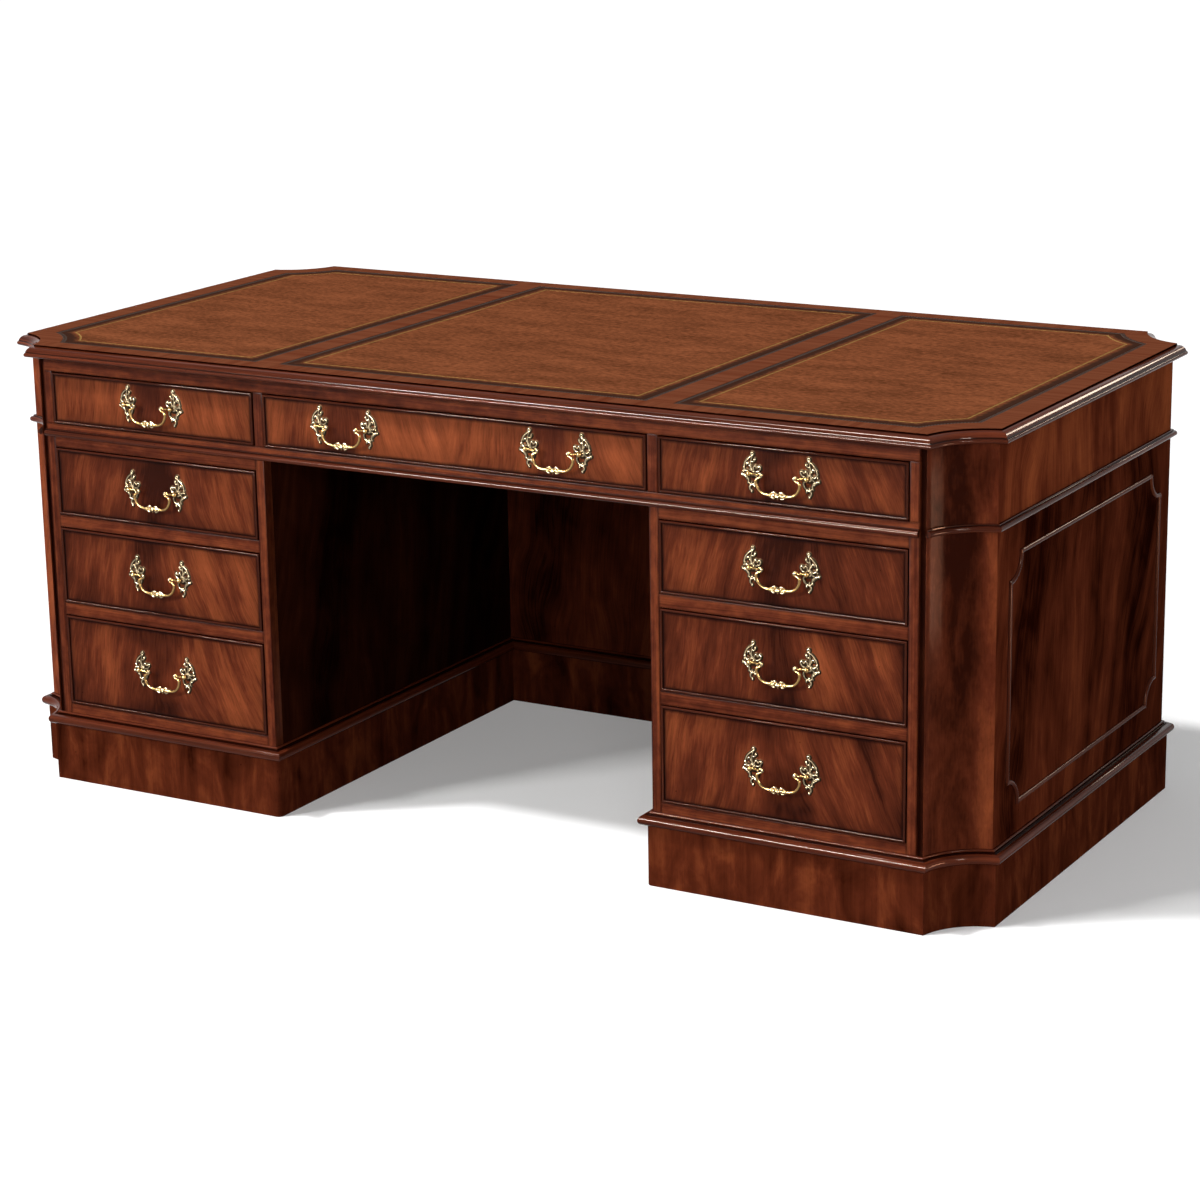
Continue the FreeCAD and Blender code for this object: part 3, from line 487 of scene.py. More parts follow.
def node_tree(name, inputs):
    """Empty geometry tree with named inputs, ending in Realize Instances and Set Material."""
    tree = bpy.data.node_groups.new(name, "GeometryNodeTree")
    tree.interface.new_socket("Geometry", in_out="INPUT", socket_type="NodeSocketGeometry")
    for label, kind in inputs:
        tree.interface.new_socket(label, in_out="INPUT", socket_type="NodeSocket" + kind)
    tree.interface.new_socket("Finish", in_out="INPUT", socket_type="NodeSocketMaterial")
    tree.interface.new_socket("Geometry", in_out="OUTPUT", socket_type="NodeSocketGeometry")
    start, end = tree.nodes.new("NodeGroupInput"), tree.nodes.new("NodeGroupOutput")
    realize = tree.nodes.new("GeometryNodeRealizeInstances")
    paint = tree.nodes.new("GeometryNodeSetMaterial")
    tree.links.new(realize.outputs[0], paint.inputs["Geometry"])
    tree.links.new(start.outputs["Finish"], paint.inputs["Material"])
    tree.links.new(paint.outputs[0], end.inputs[0])
    return tree, start, realize


def pair_tree():
    """Sets a right-hand piece on the points whose hand is 1, and a left-hand piece on the others."""
    tree, start, realize = node_tree("handed pieces", [("Left piece", "Object"), ("Right piece", "Object")])
    hand = tree.nodes.new("GeometryNodeInputNamedAttribute")
    hand.data_type = "FLOAT"
    hand.inputs["Name"].default_value = "hand"
    join = tree.nodes.new("GeometryNodeJoinGeometry")
    for label, operation in (("Left piece", "LESS_THAN"), ("Right piece", "GREATER_THAN")):
        chosen = tree.nodes.new("FunctionNodeCompare")
        chosen.data_type = "FLOAT"
        chosen.operation = operation
        chosen.inputs["B"].default_value = 0.5
        source = tree.nodes.new("GeometryNodeObjectInfo")
        place = tree.nodes.new("GeometryNodeInstanceOnPoints")
        tree.links.new(hand.outputs["Attribute"], chosen.inputs["A"])
        tree.links.new(start.outputs[label], source.inputs["Object"])
        tree.links.new(start.outputs["Geometry"], place.inputs["Points"])
        tree.links.new(chosen.outputs[0], place.inputs["Selection"])
        tree.links.new(source.outputs["Geometry"], place.inputs["Instance"])
        tree.links.new(place.outputs[0], join.inputs[0])
    tree.links.new(join.outputs[0], realize.inputs[0])
    return tree


def wheel_tree():
    """Rolls a tooling mark along a line at an even pitch."""
    tree, start, realize = node_tree("tooling wheel", [("Mark", "Object"), ("Pitch", "Float")])
    curve = tree.nodes.new("GeometryNodeMeshToCurve")
    spread = tree.nodes.new("GeometryNodeCurveToPoints")
    spread.mode = "LENGTH"
    align = tree.nodes.new("FunctionNodeAlignRotationToVector")
    align.axis, align.pivot_axis = "X", "Z"
    source = tree.nodes.new("GeometryNodeObjectInfo")
    place = tree.nodes.new("GeometryNodeInstanceOnPoints")
    tree.links.new(start.outputs["Geometry"], curve.inputs["Mesh"])
    tree.links.new(curve.outputs[0], spread.inputs["Curve"])
    tree.links.new(start.outputs["Pitch"], spread.inputs["Length"])
    tree.links.new(spread.outputs["Tangent"], align.inputs["Vector"])
    tree.links.new(start.outputs["Mark"], source.inputs["Object"])
    tree.links.new(spread.outputs["Points"], place.inputs["Points"])
    tree.links.new(align.outputs[0], place.inputs["Rotation"])
    tree.links.new(source.outputs["Geometry"], place.inputs["Instance"])
    tree.links.new(place.outputs[0], realize.inputs[0])
    return tree


def spare_object(name, data):
    """Puts a mesh, a lamp or a camera in the scene beside the desk's pieces."""
    made = bpy.data.objects.new(name, data)
    bpy.context.scene.collection.objects.link(made)
    return made


def grown(name, tree, mesh, values):
    """The plain mesh that a tree grows on another mesh."""
    host = spare_object(name, mesh)
    modifier = host.modifiers.new("grow", "NODES")
    modifier.node_group = tree
    for socket in tree.interface.items_tree:
        if socket.in_out == "INPUT" and socket.name in values:
            modifier[socket.identifier] = values[socket.name]
    evaluated = host.evaluated_get(bpy.context.evaluated_depsgraph_get())
    made = bpy.data.meshes.new_from_object(evaluated)
    host.modifiers.clear()
    bpy.data.objects.remove(host)
    made.name = name
    return made


# Shader maths

class Value:
    """A number on the surface. Sums written with it add their Math nodes."""

    def __init__(self, finish, socket):
        self.finish, self.socket = finish, socket

    def __add__(self, other):
        return self.finish.math("ADD", self, other)

    def __radd__(self, other):
        return self.finish.math("ADD", other, self)

    def __sub__(self, other):
        return self.finish.math("SUBTRACT", self, other)

    def __rsub__(self, other):
        return self.finish.math("SUBTRACT", other, self)

    def __mul__(self, other):
        return self.finish.math("MULTIPLY", self, other)

    def __rmul__(self, other):
        return self.finish.math("MULTIPLY", other, self)

    def __truediv__(self, other):
        return self.finish.math("DIVIDE", self, other)

    def __gt__(self, other):
        return self.finish.math("GREATER_THAN", self, other)

    def __lt__(self, other):
        return self.finish.math("LESS_THAN", self, other)

    def __abs__(self):
        return self.finish.math("ABSOLUTE", self)


# Colour sockets of the Mix node, whose names stand for other kinds of socket too
MIX_A, MIX_B, MIX_RESULT = 6, 7, 2


class Finish:
    """Nodes of one material, or of the world."""

    def __init__(self, name, kind="materials"):
        self.owner = getattr(bpy.data, kind).new(name)
        self.owner.use_nodes = True
        self.tree = self.owner.node_tree
        self.tree.nodes.clear()

    def node(self, kind, settings, inputs):
        """One node: its settings first, then the values or links of its sockets."""
        made = self.tree.nodes.new("ShaderNode" + kind)
        for key, value in settings.items():
            setattr(made, key, value)
        for key, value in inputs.items():
            if isinstance(value, Value):
                self.tree.links.new(value.socket, made.inputs[key])
            elif value is not None:
                made.inputs[key].default_value = value
        return made

    def math(self, operation, a, b=None):
        return Value(self, self.node("Math", {"operation": operation}, {0: a, 1: b}).outputs[0])

    def smooth(self, value, start, end):
        """0 at start and 1 at end, with a soft change between them."""
        made = self.node("MapRange", {"interpolation_type": "SMOOTHSTEP"},
                         {"Value": value, "From Min": start, "From Max": end})
        return Value(self, made.outputs[0])

    def split(self, vector):
        made = self.node("SeparateXYZ", {}, {0: vector})
        return [Value(self, socket) for socket in made.outputs]

    def vector(self, x, y, z=0.0):
        return Value(self, self.node("CombineXYZ", {}, {0: x, 1: y, 2: z}).outputs[0])

    def grain(self):
        """Along and across the grain, in metres."""
        made = self.node("UVMap", {"uv_map": "grain"}, {})
        return self.split(Value(self, made.outputs[0]))[:2]

    def place(self):
        made = self.node("TexCoord", {}, {})
        return self.split(Value(self, made.outputs["Object"]))

    def attribute(self, name, output="Fac"):
        made = self.node("Attribute", {"attribute_name": name}, {})
        return Value(self, made.outputs[output])

    def noise(self, vector, detail=2.0, rough=0.5, warp=0.0):
        made = self.node("TexNoise", {}, {"Vector": vector, "Scale": 1.0, "Detail": detail,
                                          "Roughness": rough, "Distortion": warp})
        return Value(self, made.outputs[0])

    def cells(self, vector):
        """Distance to the nearest of scattered points, and that point's own random number."""
        made = self.node("TexVoronoi", {}, {"Vector": vector, "Scale": 1.0})
        return Value(self, made.outputs["Distance"]), self.split(Value(self, made.outputs["Color"]))[0]

    def mix(self, share, a, b):
        """Colour between a, at share 0, and b, at share 1."""
        a, b = [(*paint, 1) if isinstance(paint, tuple) else paint for paint in (a, b)]
        made = self.node("Mix", {"data_type": "RGBA"}, {0: share, MIX_A: a, MIX_B: b})
        return Value(self, made.outputs[MIX_RESULT])

    def ramp(self, value, *stops):
        made = self.node("ValToRGB", {}, {0: value})
        elements = made.color_ramp.elements
        while len(elements) < len(stops):
            elements.new(0.5)
        for element, (place, paint) in zip(elements, stops):
            element.position = place
            element.color = (*paint, 1)
        return Value(self, made.outputs[0])

    def bump(self, height, strength, depth):
        made = self.node("Bump", {}, {"Height": height, "Strength": strength, "Distance": depth})
        return Value(self, made.outputs[0])

    def surface(self, inputs):
        """Ends the material in a shader with these inputs."""
        shader = self.node("BsdfPrincipled", {}, inputs)
        end = self.node("OutputMaterial", {}, {})
        self.tree.links.new(shader.outputs[0], end.inputs[0])
        return self.owner


def shade(paint, share):
    """A paint made darker or lighter."""
    return tuple(c * share for c in paint)


# Finishes of the wood

# Colour that the filled and polished mouldings give to what they mirror
WARM_POLISH = (1.0, 0.85, 0.74, 1)


def straight_figure(f, along, across, broad=55.0, fine=0.32):
    """Even stripes of quartered mahogany, with a share of short fine streaks."""
    wander = f.noise(f.vector(along * 2.5, across * 9.0)) - 0.5
    across = across + wander * 0.012
    stripes = f.noise(f.vector(along * 1.2, across * broad), 3.0, 0.6)
    streaks = f.noise(f.vector(along * 7.0, across * 420.0))
    return stripes * (1 - fine) + streaks * fine


def pores(f, along, across):
    """Short dark pores that lie along the grain."""
    return f.smooth(f.noise(f.vector(along * 90.0, across * 2200.0), 1.0), 0.60, 0.74)


def specks(f, along, across):
    """Scattered dark specks of the antique finish."""
    spread, pick = f.cells(f.vector(along * 36.0, across * 36.0))
    size = f.noise(f.vector(along * 300.0, across * 300.0)) * 0.09
    return f.smooth(spread, size, size - 0.02) * (pick > 0.72)


def polished(f, colours, figure, along, across, painted_shade=None, gloss=0.30, tint=1.0, shine=0.02, lift=0.0,
             filled=False):
    """Painted shade, pores and french polish over a figure that runs from 0, dark, to 1, light.

    The lift is the share by which the dark figure is no darker than the body of the wood. A filled
    grain leaves the polish flat and warms what it mirrors.
    """
    woods = (colours.wood_dark, colours.wood_red, colours.wood_light)
    dark, red, light = [shade(paint, tint) for paint in woods]
    heart = tuple(d + (r - d) * lift for d, r in zip(dark, red))
    wood = f.ramp(figure, (0.22, heart), (0.50, red), (0.76, light), (1.0, shade(light, 1.5)))
    deep = shade(dark, 0.35)
    grained = f.mix(pores(f, along, across) * 0.45, wood, dark)
    grained = f.mix(specks(f, along, across) * 0.85, grained, deep)
    # Painted shade: darkening in quirks, creases and along edges, mixed towards the deepest dark of the
    # wood
    if painted_shade:
        grained = f.mix(painted_shade, grained, deep)
    coat = {"Base Color": grained, "Specular IOR Level": shine}
    if filled:
        return f.surface({**coat, "Roughness": gloss, "Specular Tint": WARM_POLISH})
    relief = figure - pores(f, along, across) * 0.5
    cloud = f.noise(f.vector(along * 14.0, across * 14.0))
    return f.surface({**coat, "Roughness": cloud * 0.10 + (gloss - 0.05),
                      "Normal": f.bump(relief, 0.10, 0.0003)})


def rail_finish(colours):
    """Straight mahogany of the frames, with painted shade along its edges."""
    f = Finish("rail mahogany")
    along, across = f.grain()
    mottle = f.noise(f.vector(along * 30.0, across * 60.0), 3.0, 0.6)
    figure = straight_figure(f, along, across) * 1.1 + mottle * 0.55 - 0.30
    # The tone is painted shade along the board's edges
    return polished(f, colours, figure, along, across, f.attribute("tone") * 0.50)


def moulding_finish(colours):
    """Filled and glossy mouldings, with painted shade in their quirks and creases."""
    f = Finish("moulding mahogany")
    along, across = f.grain()
    painted_shade = f.attribute("tone") * 0.85
    figure = straight_figure(f, along, across, 90.0) * 0.9 - 0.03
    return polished(f, colours, figure, along, across, painted_shade, 0.12, shine=0.06, filled=True)


def bead_finish(colours):
    """Satin beads of the side panels, with painted shade at their feet."""
    f = Finish("bead mahogany")
    along, across = f.grain()
    painted_shade = f.attribute("tone") * 0.85
    figure = straight_figure(f, along, across, 90.0) * 0.9 + 0.06
    return polished(f, colours, figure, along, across, painted_shade, 0.16, shine=0.03, filled=True)


def plinth_finish(colours):
    """Dull upright stripes of the plinths."""
    f = Finish("plinth mahogany")
    along, across = f.grain()
    mottle = f.noise(f.vector(along * 9.0, across * 22.0), 4.0, 0.6, 0.6)
    figure = straight_figure(f, along, across, 26.0, 0.16) * 0.7 + mottle * 0.9 - 0.32
    return polished(f, colours, figure, along, across, tint=0.85, shine=0.0, lift=0.1)


def veneer_finish(colours, name="upright veneer", tint=1.0, body=0.41):
    """Upright veneer of the sides, with leaning flames and broad dark arches about the body of the wood."""
    f = Finish(name)
    along, across = f.grain()
    drift = f.noise(f.vector(along * 1.8, across * 2.4), 2.0) - 0.5
    swayed = across - along * 0.12 + drift * 0.30
    broad = f.noise(f.vector(along * 1.5, swayed * 7.0), 3.0, 0.55) - 0.5
    flames = f.noise(f.vector(along * 4.5, swayed * 34.0), 4.0, 0.62) - 0.5
    mottle = f.noise(f.vector(along * 14.0, across * 22.0), 2.0, 0.5, 0.5) - 0.5
    fine = f.noise(f.vector(along * 12.0, swayed * 380.0), 1.0) - 0.5
    figure = broad * 0.95 + flames * 0.48 + mottle * 0.26 + fine * 0.24 + body
    return polished(f, colours, figure, along, across, tint=tint, shine=0.0)


def frieze_painted_light_finish(colours):
    """The same veneer made lighter round the frieze: painted light on the upper part of the sides."""
    return veneer_finish(colours, "frieze veneer", 1.15, 0.58)


def knee_painted_shade_finish(colours):
    """The same veneer darkened inside the kneehole: painted shade."""
    return veneer_finish(colours, "kneehole veneer", 0.2)


def column_finish(colours):
    """Fine flames of the corner columns, with painted shade along the middle of the hollow and in the
    grooves, and painted light on the hollow's outer part.
    """
    f = Finish("column veneer")
    along, across = f.grain()
    x, _, z = f.place()
    over = (abs(x) - (HALF_X - SCOOP_LEG)) / SCOOP_LEG
    drift = f.noise(f.vector(along * 5.0, across * 9.0), 2.0) - 0.5
    flame = f.noise(f.vector(along * 9.0, across * 24.0), 3.0, 0.5, 0.8) - 0.5
    mottle = f.noise(f.vector(along * 60.0, across * 110.0), 3.0, 0.6, 0.5) - 0.5
    feather = f.noise(f.vector(along * 40.0, across * 300.0), 1.0) - 0.5
    # Painted shade along the middle of the hollow, deeper higher up
    heart = f.smooth(abs(over + drift * 0.6 - 0.40), 0.46, 0.0) * (f.smooth(z, 0.1, 0.6) * 0.17 + 0.07)
    # Painted light on the outer part of the hollow
    glow = f.smooth(over + drift * 0.6, 0.55, 0.90) * 0.12
    figure = flame * 0.70 + mottle * 0.22 + feather * 0.15 - heart + glow + 0.46
    # The tone is painted shade on the floor of the grooves
    painted_shade = f.attribute("tone")
    return polished(f, colours, figure, along, across, painted_shade, 0.12, tint=1.15, shine=0.006, lift=0.14)


# Fronts whose half width is above this have two figures side by side
TWIN_WIDTH = 0.3


def crotch_finish(colours):
    """Crotch veneer of the drawers: streaks that fan out below a dark plume, with painted shade round the
    edges of each front.
    """
    f = Finish("crotch mahogany")
    u, v = f.grain()
    half_x, half_z, seed = f.split(f.attribute("panel", "Vector"))
    twin = half_x > TWIN_WIDTH
    seed = seed + (u > 0.0) * twin * 2.0
    lean = f.noise(f.vector(u * 4.0, v * 4.0, seed), 1.0) - 0.5
    ripple = f.noise(f.vector(u * 13.0, v * 13.0, seed), 2.0) - 0.5
    off = u - twin * half_x * 0.56 * f.math("SIGN", u) + lean * 0.04 + 0.012
    drop = half_z - v
    slope = f.smooth(off, -0.06, 0.13) * 0.50 - 0.16
    thread = off - slope * (drop + drop * drop) + ripple * 0.012
    bands = f.noise(f.vector(thread * 26.0, drop * 5.0, seed), 2.0, 0.55) - 0.5
    streaks = f.noise(f.vector(thread * 75.0, drop * 11.0, seed + 3.0), 5.0, 0.65) - 0.5
    fine = f.noise(f.vector(thread * 420.0, drop * 30.0, seed + 7.0), 1.0) - 0.5
    plume = f.smooth(abs(off - drop * 0.08) + ripple * 0.07, 0.056, 0.006)
    streaky = (bands * 0.80 + streaks * 0.58) * (1.0 - plume * 0.5)
    # The tone is each leaf's own tone with painted light, brightest towards the middle of the desk
    figure = streaky + fine * 0.28 + ripple * 0.30 - plume * 0.24 + f.attribute("tone") + 0.53
    inside = f.math("MINIMUM", half_x - abs(u), half_z - abs(v))
    # Painted shade along the cockbead, and a wider soft painted shade towards the edges
    painted_shade = f.smooth(inside + ripple * 0.003, 0.0065, 0.0) * 0.70 + f.smooth(inside, 0.040, 0.0) * 0.25
    return polished(f, colours, figure, v, u, painted_shade, 0.26, lift=0.15)


def crossband_finish(colours):
    """Bands round the leathers, with their grain across them and painted shade on the walls at their edges.
    """
    f = Finish("crossband mahogany")
    x, y, z = f.place()
    leather_y = high("leather_centre").y
    along_front = (abs(y) > leather_y) * ((HALF_Y - abs(y)) < (HALF_X - abs(x)))
    along = along_front * y + (1 - along_front) * x
    across = along_front * x + (1 - along_front) * y
    stripes = straight_figure(f, along, across, 70.0)
    band, dark = tuple(colours.band), tuple(colours.wood_dark)
    wood = f.ramp(stripes, (0.3, tuple(colours.wood_red)), (0.52, band), (0.75, shade(band, 1.35)))
    wood = f.mix(specks(f, along, across) * 0.7, wood, dark)
    # Painted shade on the walls of the leathers' recesses
    wall = f.smooth(z, DESK_TOP - 0.0002, DESK_TOP - 0.0006)
    wood = f.mix(wall, wood, shade(dark, 0.5))
    return f.surface({"Base Color": wood, "Roughness": f.noise(f.vector(x * 12.0, y * 12.0)) * 0.1 + 0.24,
                      "Specular IOR Level": 0.0, "Normal": f.bump(stripes, 0.06, 0.0003)})


def drawer_wood_finish(colours):
    """Plain waxed wood inside the desk."""
    f = Finish("drawer wood")
    x, y, z = f.place()
    along, across = y, x + z
    figure = straight_figure(f, along, across, 60.0)
    pale = tuple(colours.oak)
    wood = f.ramp(figure, (0.25, shade(pale, 0.5)), (0.7, pale))
    wood = f.mix(pores(f, along, across) * 0.4, wood, shade(pale, 0.3))
    return f.surface({"Base Color": wood, "Roughness": 0.55, "Normal": f.bump(figure, 0.12, 0.0003)})


# Finishes of the leather, the brass and the floor

def leather_finish(colours):
    """Waxed hide: its tone is the distance from the edge, which places the tooled lines."""
    f = Finish("tooled leather")
    sizes = bpy.context.scene.desk_sizes
    x, y, _ = f.place()
    inset = f.attribute("tone")
    cloud = f.noise(f.vector(x * 7.0, y * 20.0), 5.0, 0.65)
    mottle = f.noise(f.vector(x * 90.0, y * 220.0), 3.0, 0.65)
    tan = tuple(colours.hide)
    dark, pale = shade(tan, 0.52), shade(tan, 1.50)
    hide = f.ramp(cloud * 0.42 + mottle * 0.58, (0.38, dark), (0.50, tan), (0.62, pale))
    strip, line = sizes.tooled_strip, sizes.gold_line
    soft = 0.0012
    border = f.smooth(inset + (mottle - 0.5) * 0.016, line + 0.001, strip + 0.009)
    hide = f.mix(border * 0.95, hide, tuple(colours.hide_dark))
    tooled = f.smooth(inset, strip + soft / 2, strip - soft / 2)
    hide = f.mix(tooled * 0.9, hide, tuple(colours.hide_grey))
    worn = f.smooth(mottle, 0.32, 0.5)
    gilt = f.smooth(abs(inset - line), 0.0021, 0.0012) * (worn * 0.45 + 0.5)
    hide = f.mix(gilt, hide, tuple(colours.gold))
    pebble, _ = f.cells(f.vector(x * 900.0, y * 900.0))
    return f.surface({"Base Color": hide, "Roughness": mottle * 0.16 + 0.42, "Specular IOR Level": 0.0,
                      "Normal": f.bump(pebble + mottle, 0.14, 0.0003)})


def tool_finish(colours):
    """Pressed marks of the tooling wheel."""
    f = Finish("tooled marks")
    x, y, _ = f.place()
    rubbed = f.noise(f.vector(x * 60.0, y * 60.0), 2.0)
    hide = f.mix(rubbed, shade(colours.hide_dark, 0.4), shade(colours.hide_dark, 1.6))
    return f.surface({"Base Color": hide, "Roughness": 0.42, "Specular IOR Level": 0.0,
                      "Normal": f.bump(rubbed, 0.2, 0.0002)})


def brass_finish(colours):
    """Cast brass: pale where it is rubbed, golden on the bails and dark in the hollows, with painted shade
    near the drawer's face and on the bars' sides towards it.
    """
    f = Finish("antique brass")
    x, y, z = f.place()
    out = y * -1.0 - HALF_Y
    # Dark close to the drawer's face: patina in the hollows and painted shade, which also darkens the sheet
    # behind the plates
    proud = f.smooth(out, 0.0013, 0.0026)
    cloud = f.noise(f.vector(x * 260.0, y * 260.0, z * 260.0), 3.0, 0.6)
    tone = f.attribute("tone")
    # The tone adds painted shade on the bars' sides towards the drawer, patina in the leaf's veins and wear
    # along the crests
    rubbed = f.smooth(proud * 0.9 + cloud * 0.5 - tone * 0.60, 0.60, 1.10)
    golden = f.smooth(out, 0.003, 0.006) * f.smooth(tone, -0.5, -0.1)
    bright = f.mix(golden, tuple(colours.brass), tuple(colours.brass_gold))
    metal = f.mix(rubbed, tuple(colours.brass_dark), bright)
    return f.surface({"Base Color": metal, "Metallic": 1.0, "Roughness": 0.44 - rubbed * 0.20,
                      "Normal": f.bump(cloud, 0.25, 0.0002)})


def seen_rays(f):
    """1 where the camera sees a surface, straight or in metal or glass, and 0 where it only gives light."""
    path = f.node("LightPath", {}, {}).outputs
    kinds = ("Camera", "Glossy", "Transmission")
    camera, glossy, through = [Value(f, path["Is %s Ray" % kind]) for kind in kinds]
    return f.math("MINIMUM", camera + glossy + through, 1.0)


def studio_world(level):
    """World that is seen white and lights the desk at a low level."""
    f = Finish("studio", "worlds")
    strength = seen_rays(f) * (1 - level) + level
    light = f.node("Background", {}, {"Color": (1, 1, 1, 1), "Strength": strength})
    end = f.node("OutputWorld", {}, {})
    f.tree.links.new(light.outputs[0], end.inputs[0])
    return f.owner


def floor_finish(colours):
    """Floor that is seen white, with its shadow lifted, and throws little light back on the desk."""
    f = Finish("studio floor")
    seen = seen_rays(f)
    paint = f.mix(seen, tuple(colours.floor_bounce), tuple(colours.floor))
    body = f.node("BsdfPrincipled", {}, {"Base Color": paint, "Roughness": 0.9, "Specular IOR Level": 0.0})
    glow = f.node("Emission", {}, {"Color": (*colours.floor, 1), "Strength": 1.0})
    lifted = 0.20
    blend = f.node("MixShader", {}, {0: seen * lifted})
    end = f.node("OutputMaterial", {}, {})
    f.tree.links.new(body.outputs[0], blend.inputs[1])
    f.tree.links.new(glow.outputs[0], blend.inputs[2])
    f.tree.links.new(blend.outputs[0], end.inputs[0])
    return f.owner


MAKERS = {
    "rail": rail_finish, "moulding": moulding_finish, "bead": bead_finish, "plinth": plinth_finish,
    "veneer": veneer_finish, "frieze": frieze_painted_light_finish, "knee": knee_painted_shade_finish, "column": column_finish,
    "crotch": crotch_finish, "crossband": crossband_finish, "oak": drawer_wood_finish,
    "leather": leather_finish, "tool": tool_finish, "brass": brass_finish, "floor": floor_finish,
}
FINISHES = {}


def finish_of(key):
    """The shared material for one of the desk's finishes."""
    if key not in FINISHES:
        FINISHES[key] = MAKERS[key](bpy.context.scene.desk_colours)
    return FINISHES[key]


# The top

def edge_section(sizes):
    """Quirk, ovolo and nose of the top's edge, as (distance out, height), with the painted shade of each
    point.
    """
    quirk, bead = DESK_TOP - sizes.quirk, FRIEZE_TOP + sizes.nose
    fillet = EDGE_TIP - sizes.nose_proud
    foot = bead + 0.0007
    run, drop = fillet - EDGE_ROOT, quirk - foot
    radius = (run ** 2 + drop ** 2) / (2 * drop)
    half = math.atan2(drop, run)
    ovolo = ((EDGE_ROOT + radius * math.sin(half), quirk - radius * (1 - math.cos(half))), (fillet, foot))
    nose = ((EDGE_TIP, FRIEZE_TOP + sizes.nose / 2), (fillet, FRIEZE_TOP))
    points = traced([(EDGE_ROOT, FRIEZE_TOP), (EDGE_ROOT, quirk), ovolo, (fillet, bead), nose], 10)
    tones = [0.0] * len(points)
    tones[1], tones[2] = 1.0, 0.25
    tones[11:14] = 1.0, 1.0, 0.4
    tones[-1] = 1.0
    return points, tones


def leather_line(node, circle, inset=0.0):
    """Outline of a leather, anticlockwise, at a distance inside its edge."""
    (x0, y0), (x1, y1) = low(node).xy, high(node).xy
    if node == "leather_centre":
        return rectangle(x0 + inset, x1 - inset, y0 + inset, y1 - inset)
    x, y = max(-x0, x1), y1
    band = ((HALF_X - x) + (HALF_Y - y)) / 2
    centre, radius = circle
    corner = scoop(x - inset, y - inset, (centre, radius + band + inset))
    inner = min(abs(x0), abs(x1)) + inset
    line = [Vector((inner, inset - y))] + turned_corner(corner, 1, -1) + turned_corner(corner, 1, 1)
    line.append(Vector((inner, y - inset)))
    return line if x1 > 0 else [Vector((-p.x, p.y)) for p in reversed(line)]


def make_crossbands(sizes, circle):
    """The top's board, with a recess for each leather."""
    shape = Shape()
    outline = [p + m * EDGE_ROOT for p, m in mitred(body_outline(circle), True)]
    rim = []
    recesses = [(leather_line(node, circle), DESK_TOP - sizes.leather_thickness) for node in LEATHERS]
    for line, floor in [(outline, FRIEZE_TOP)] + recesses:
        upper = [shape.mesh.verts.new(plan(p, DESK_TOP)) for p in line]
        lower = [shape.mesh.verts.new(plan(p, floor)) for p in line]
        for i in range(len(line)):
            j = (i + 1) % len(line)
            rim.append(shape.mesh.edges.new((upper[i], upper[j])))
            shape.mesh.faces.new((upper[i], upper[j], lower[j], lower[i]))
        shape.mesh.faces.new(lower)
    bmesh.ops.triangle_fill(shape.mesh, use_beauty=True, edges=rim, normal=(0, 0, 1))
    carve("top_crossbands", shape, "crossband", "carcase", "mahogany_crossband", "top_panel")


class DESK_OT_top(bpy.types.Operator):
    """Makes the crossbanded top and its moulded edge."""
    bl_idname = "desk.top"
    bl_label = "Top"

    def execute(self, context):
        sizes = context.scene.desk_sizes
        circle = scoop_circle(sizes.scoop_depth)
        make_crossbands(sizes, circle)
        shape = Shape()
        points, tones = edge_section(sizes)
        shape.sweep(points, body_outline(circle), tones=tones)
        carve("top_edge", shape, "moulding", "carcase", "mahogany_moulding", "top_edge_moulding")
        return {"FINISHED"}


def leather_section(sizes, top):
    """Rounded edge, pressed groove and sunk gold line of a leather, as (distance out, height)."""
    line, strip = sizes.gold_line, sizes.tooled_strip
    groove, press, field = 0.0008, 0.0004, 0.010
    under = DESK_TOP - sizes.leather_thickness
    edge = [(0, under), (0, top - 0.0006), (-0.0003, top - 0.0002), (-0.0008, top)]
    tooled = [(-strip + groove, top), (-strip, top - press), (-strip - groove, top)]
    gilt = [(-line + 2 * groove, top), (-line + groove, top - press), (-line - groove, top - press),
            (-line - 2 * groove, top), (-line - field, top)]
    return [Vector(p) for p in edge + tooled + gilt]


def tool_mark(sizes):
    """One mark of the tooling wheel: a slanted lozenge with a smaller crown."""
    half, wide, crown = sizes.tool_pitch * 0.42, sizes.tooled_strip * 0.32, 0.6
    ring = [(half, wide), (half * 0.2, wide), (-half, -wide), (-half * 0.2, -wide)]
    mark = Shape()
    rows = []
    for share, height in ((1.0, 0.0), (crown, sizes.mark_height)):
        rows.append([mark.mesh.verts.new((x * share, y * share, height)) for x, y in ring])
    mark.skin(rows)
    return spare_object("mark", mark.finish("mark"))


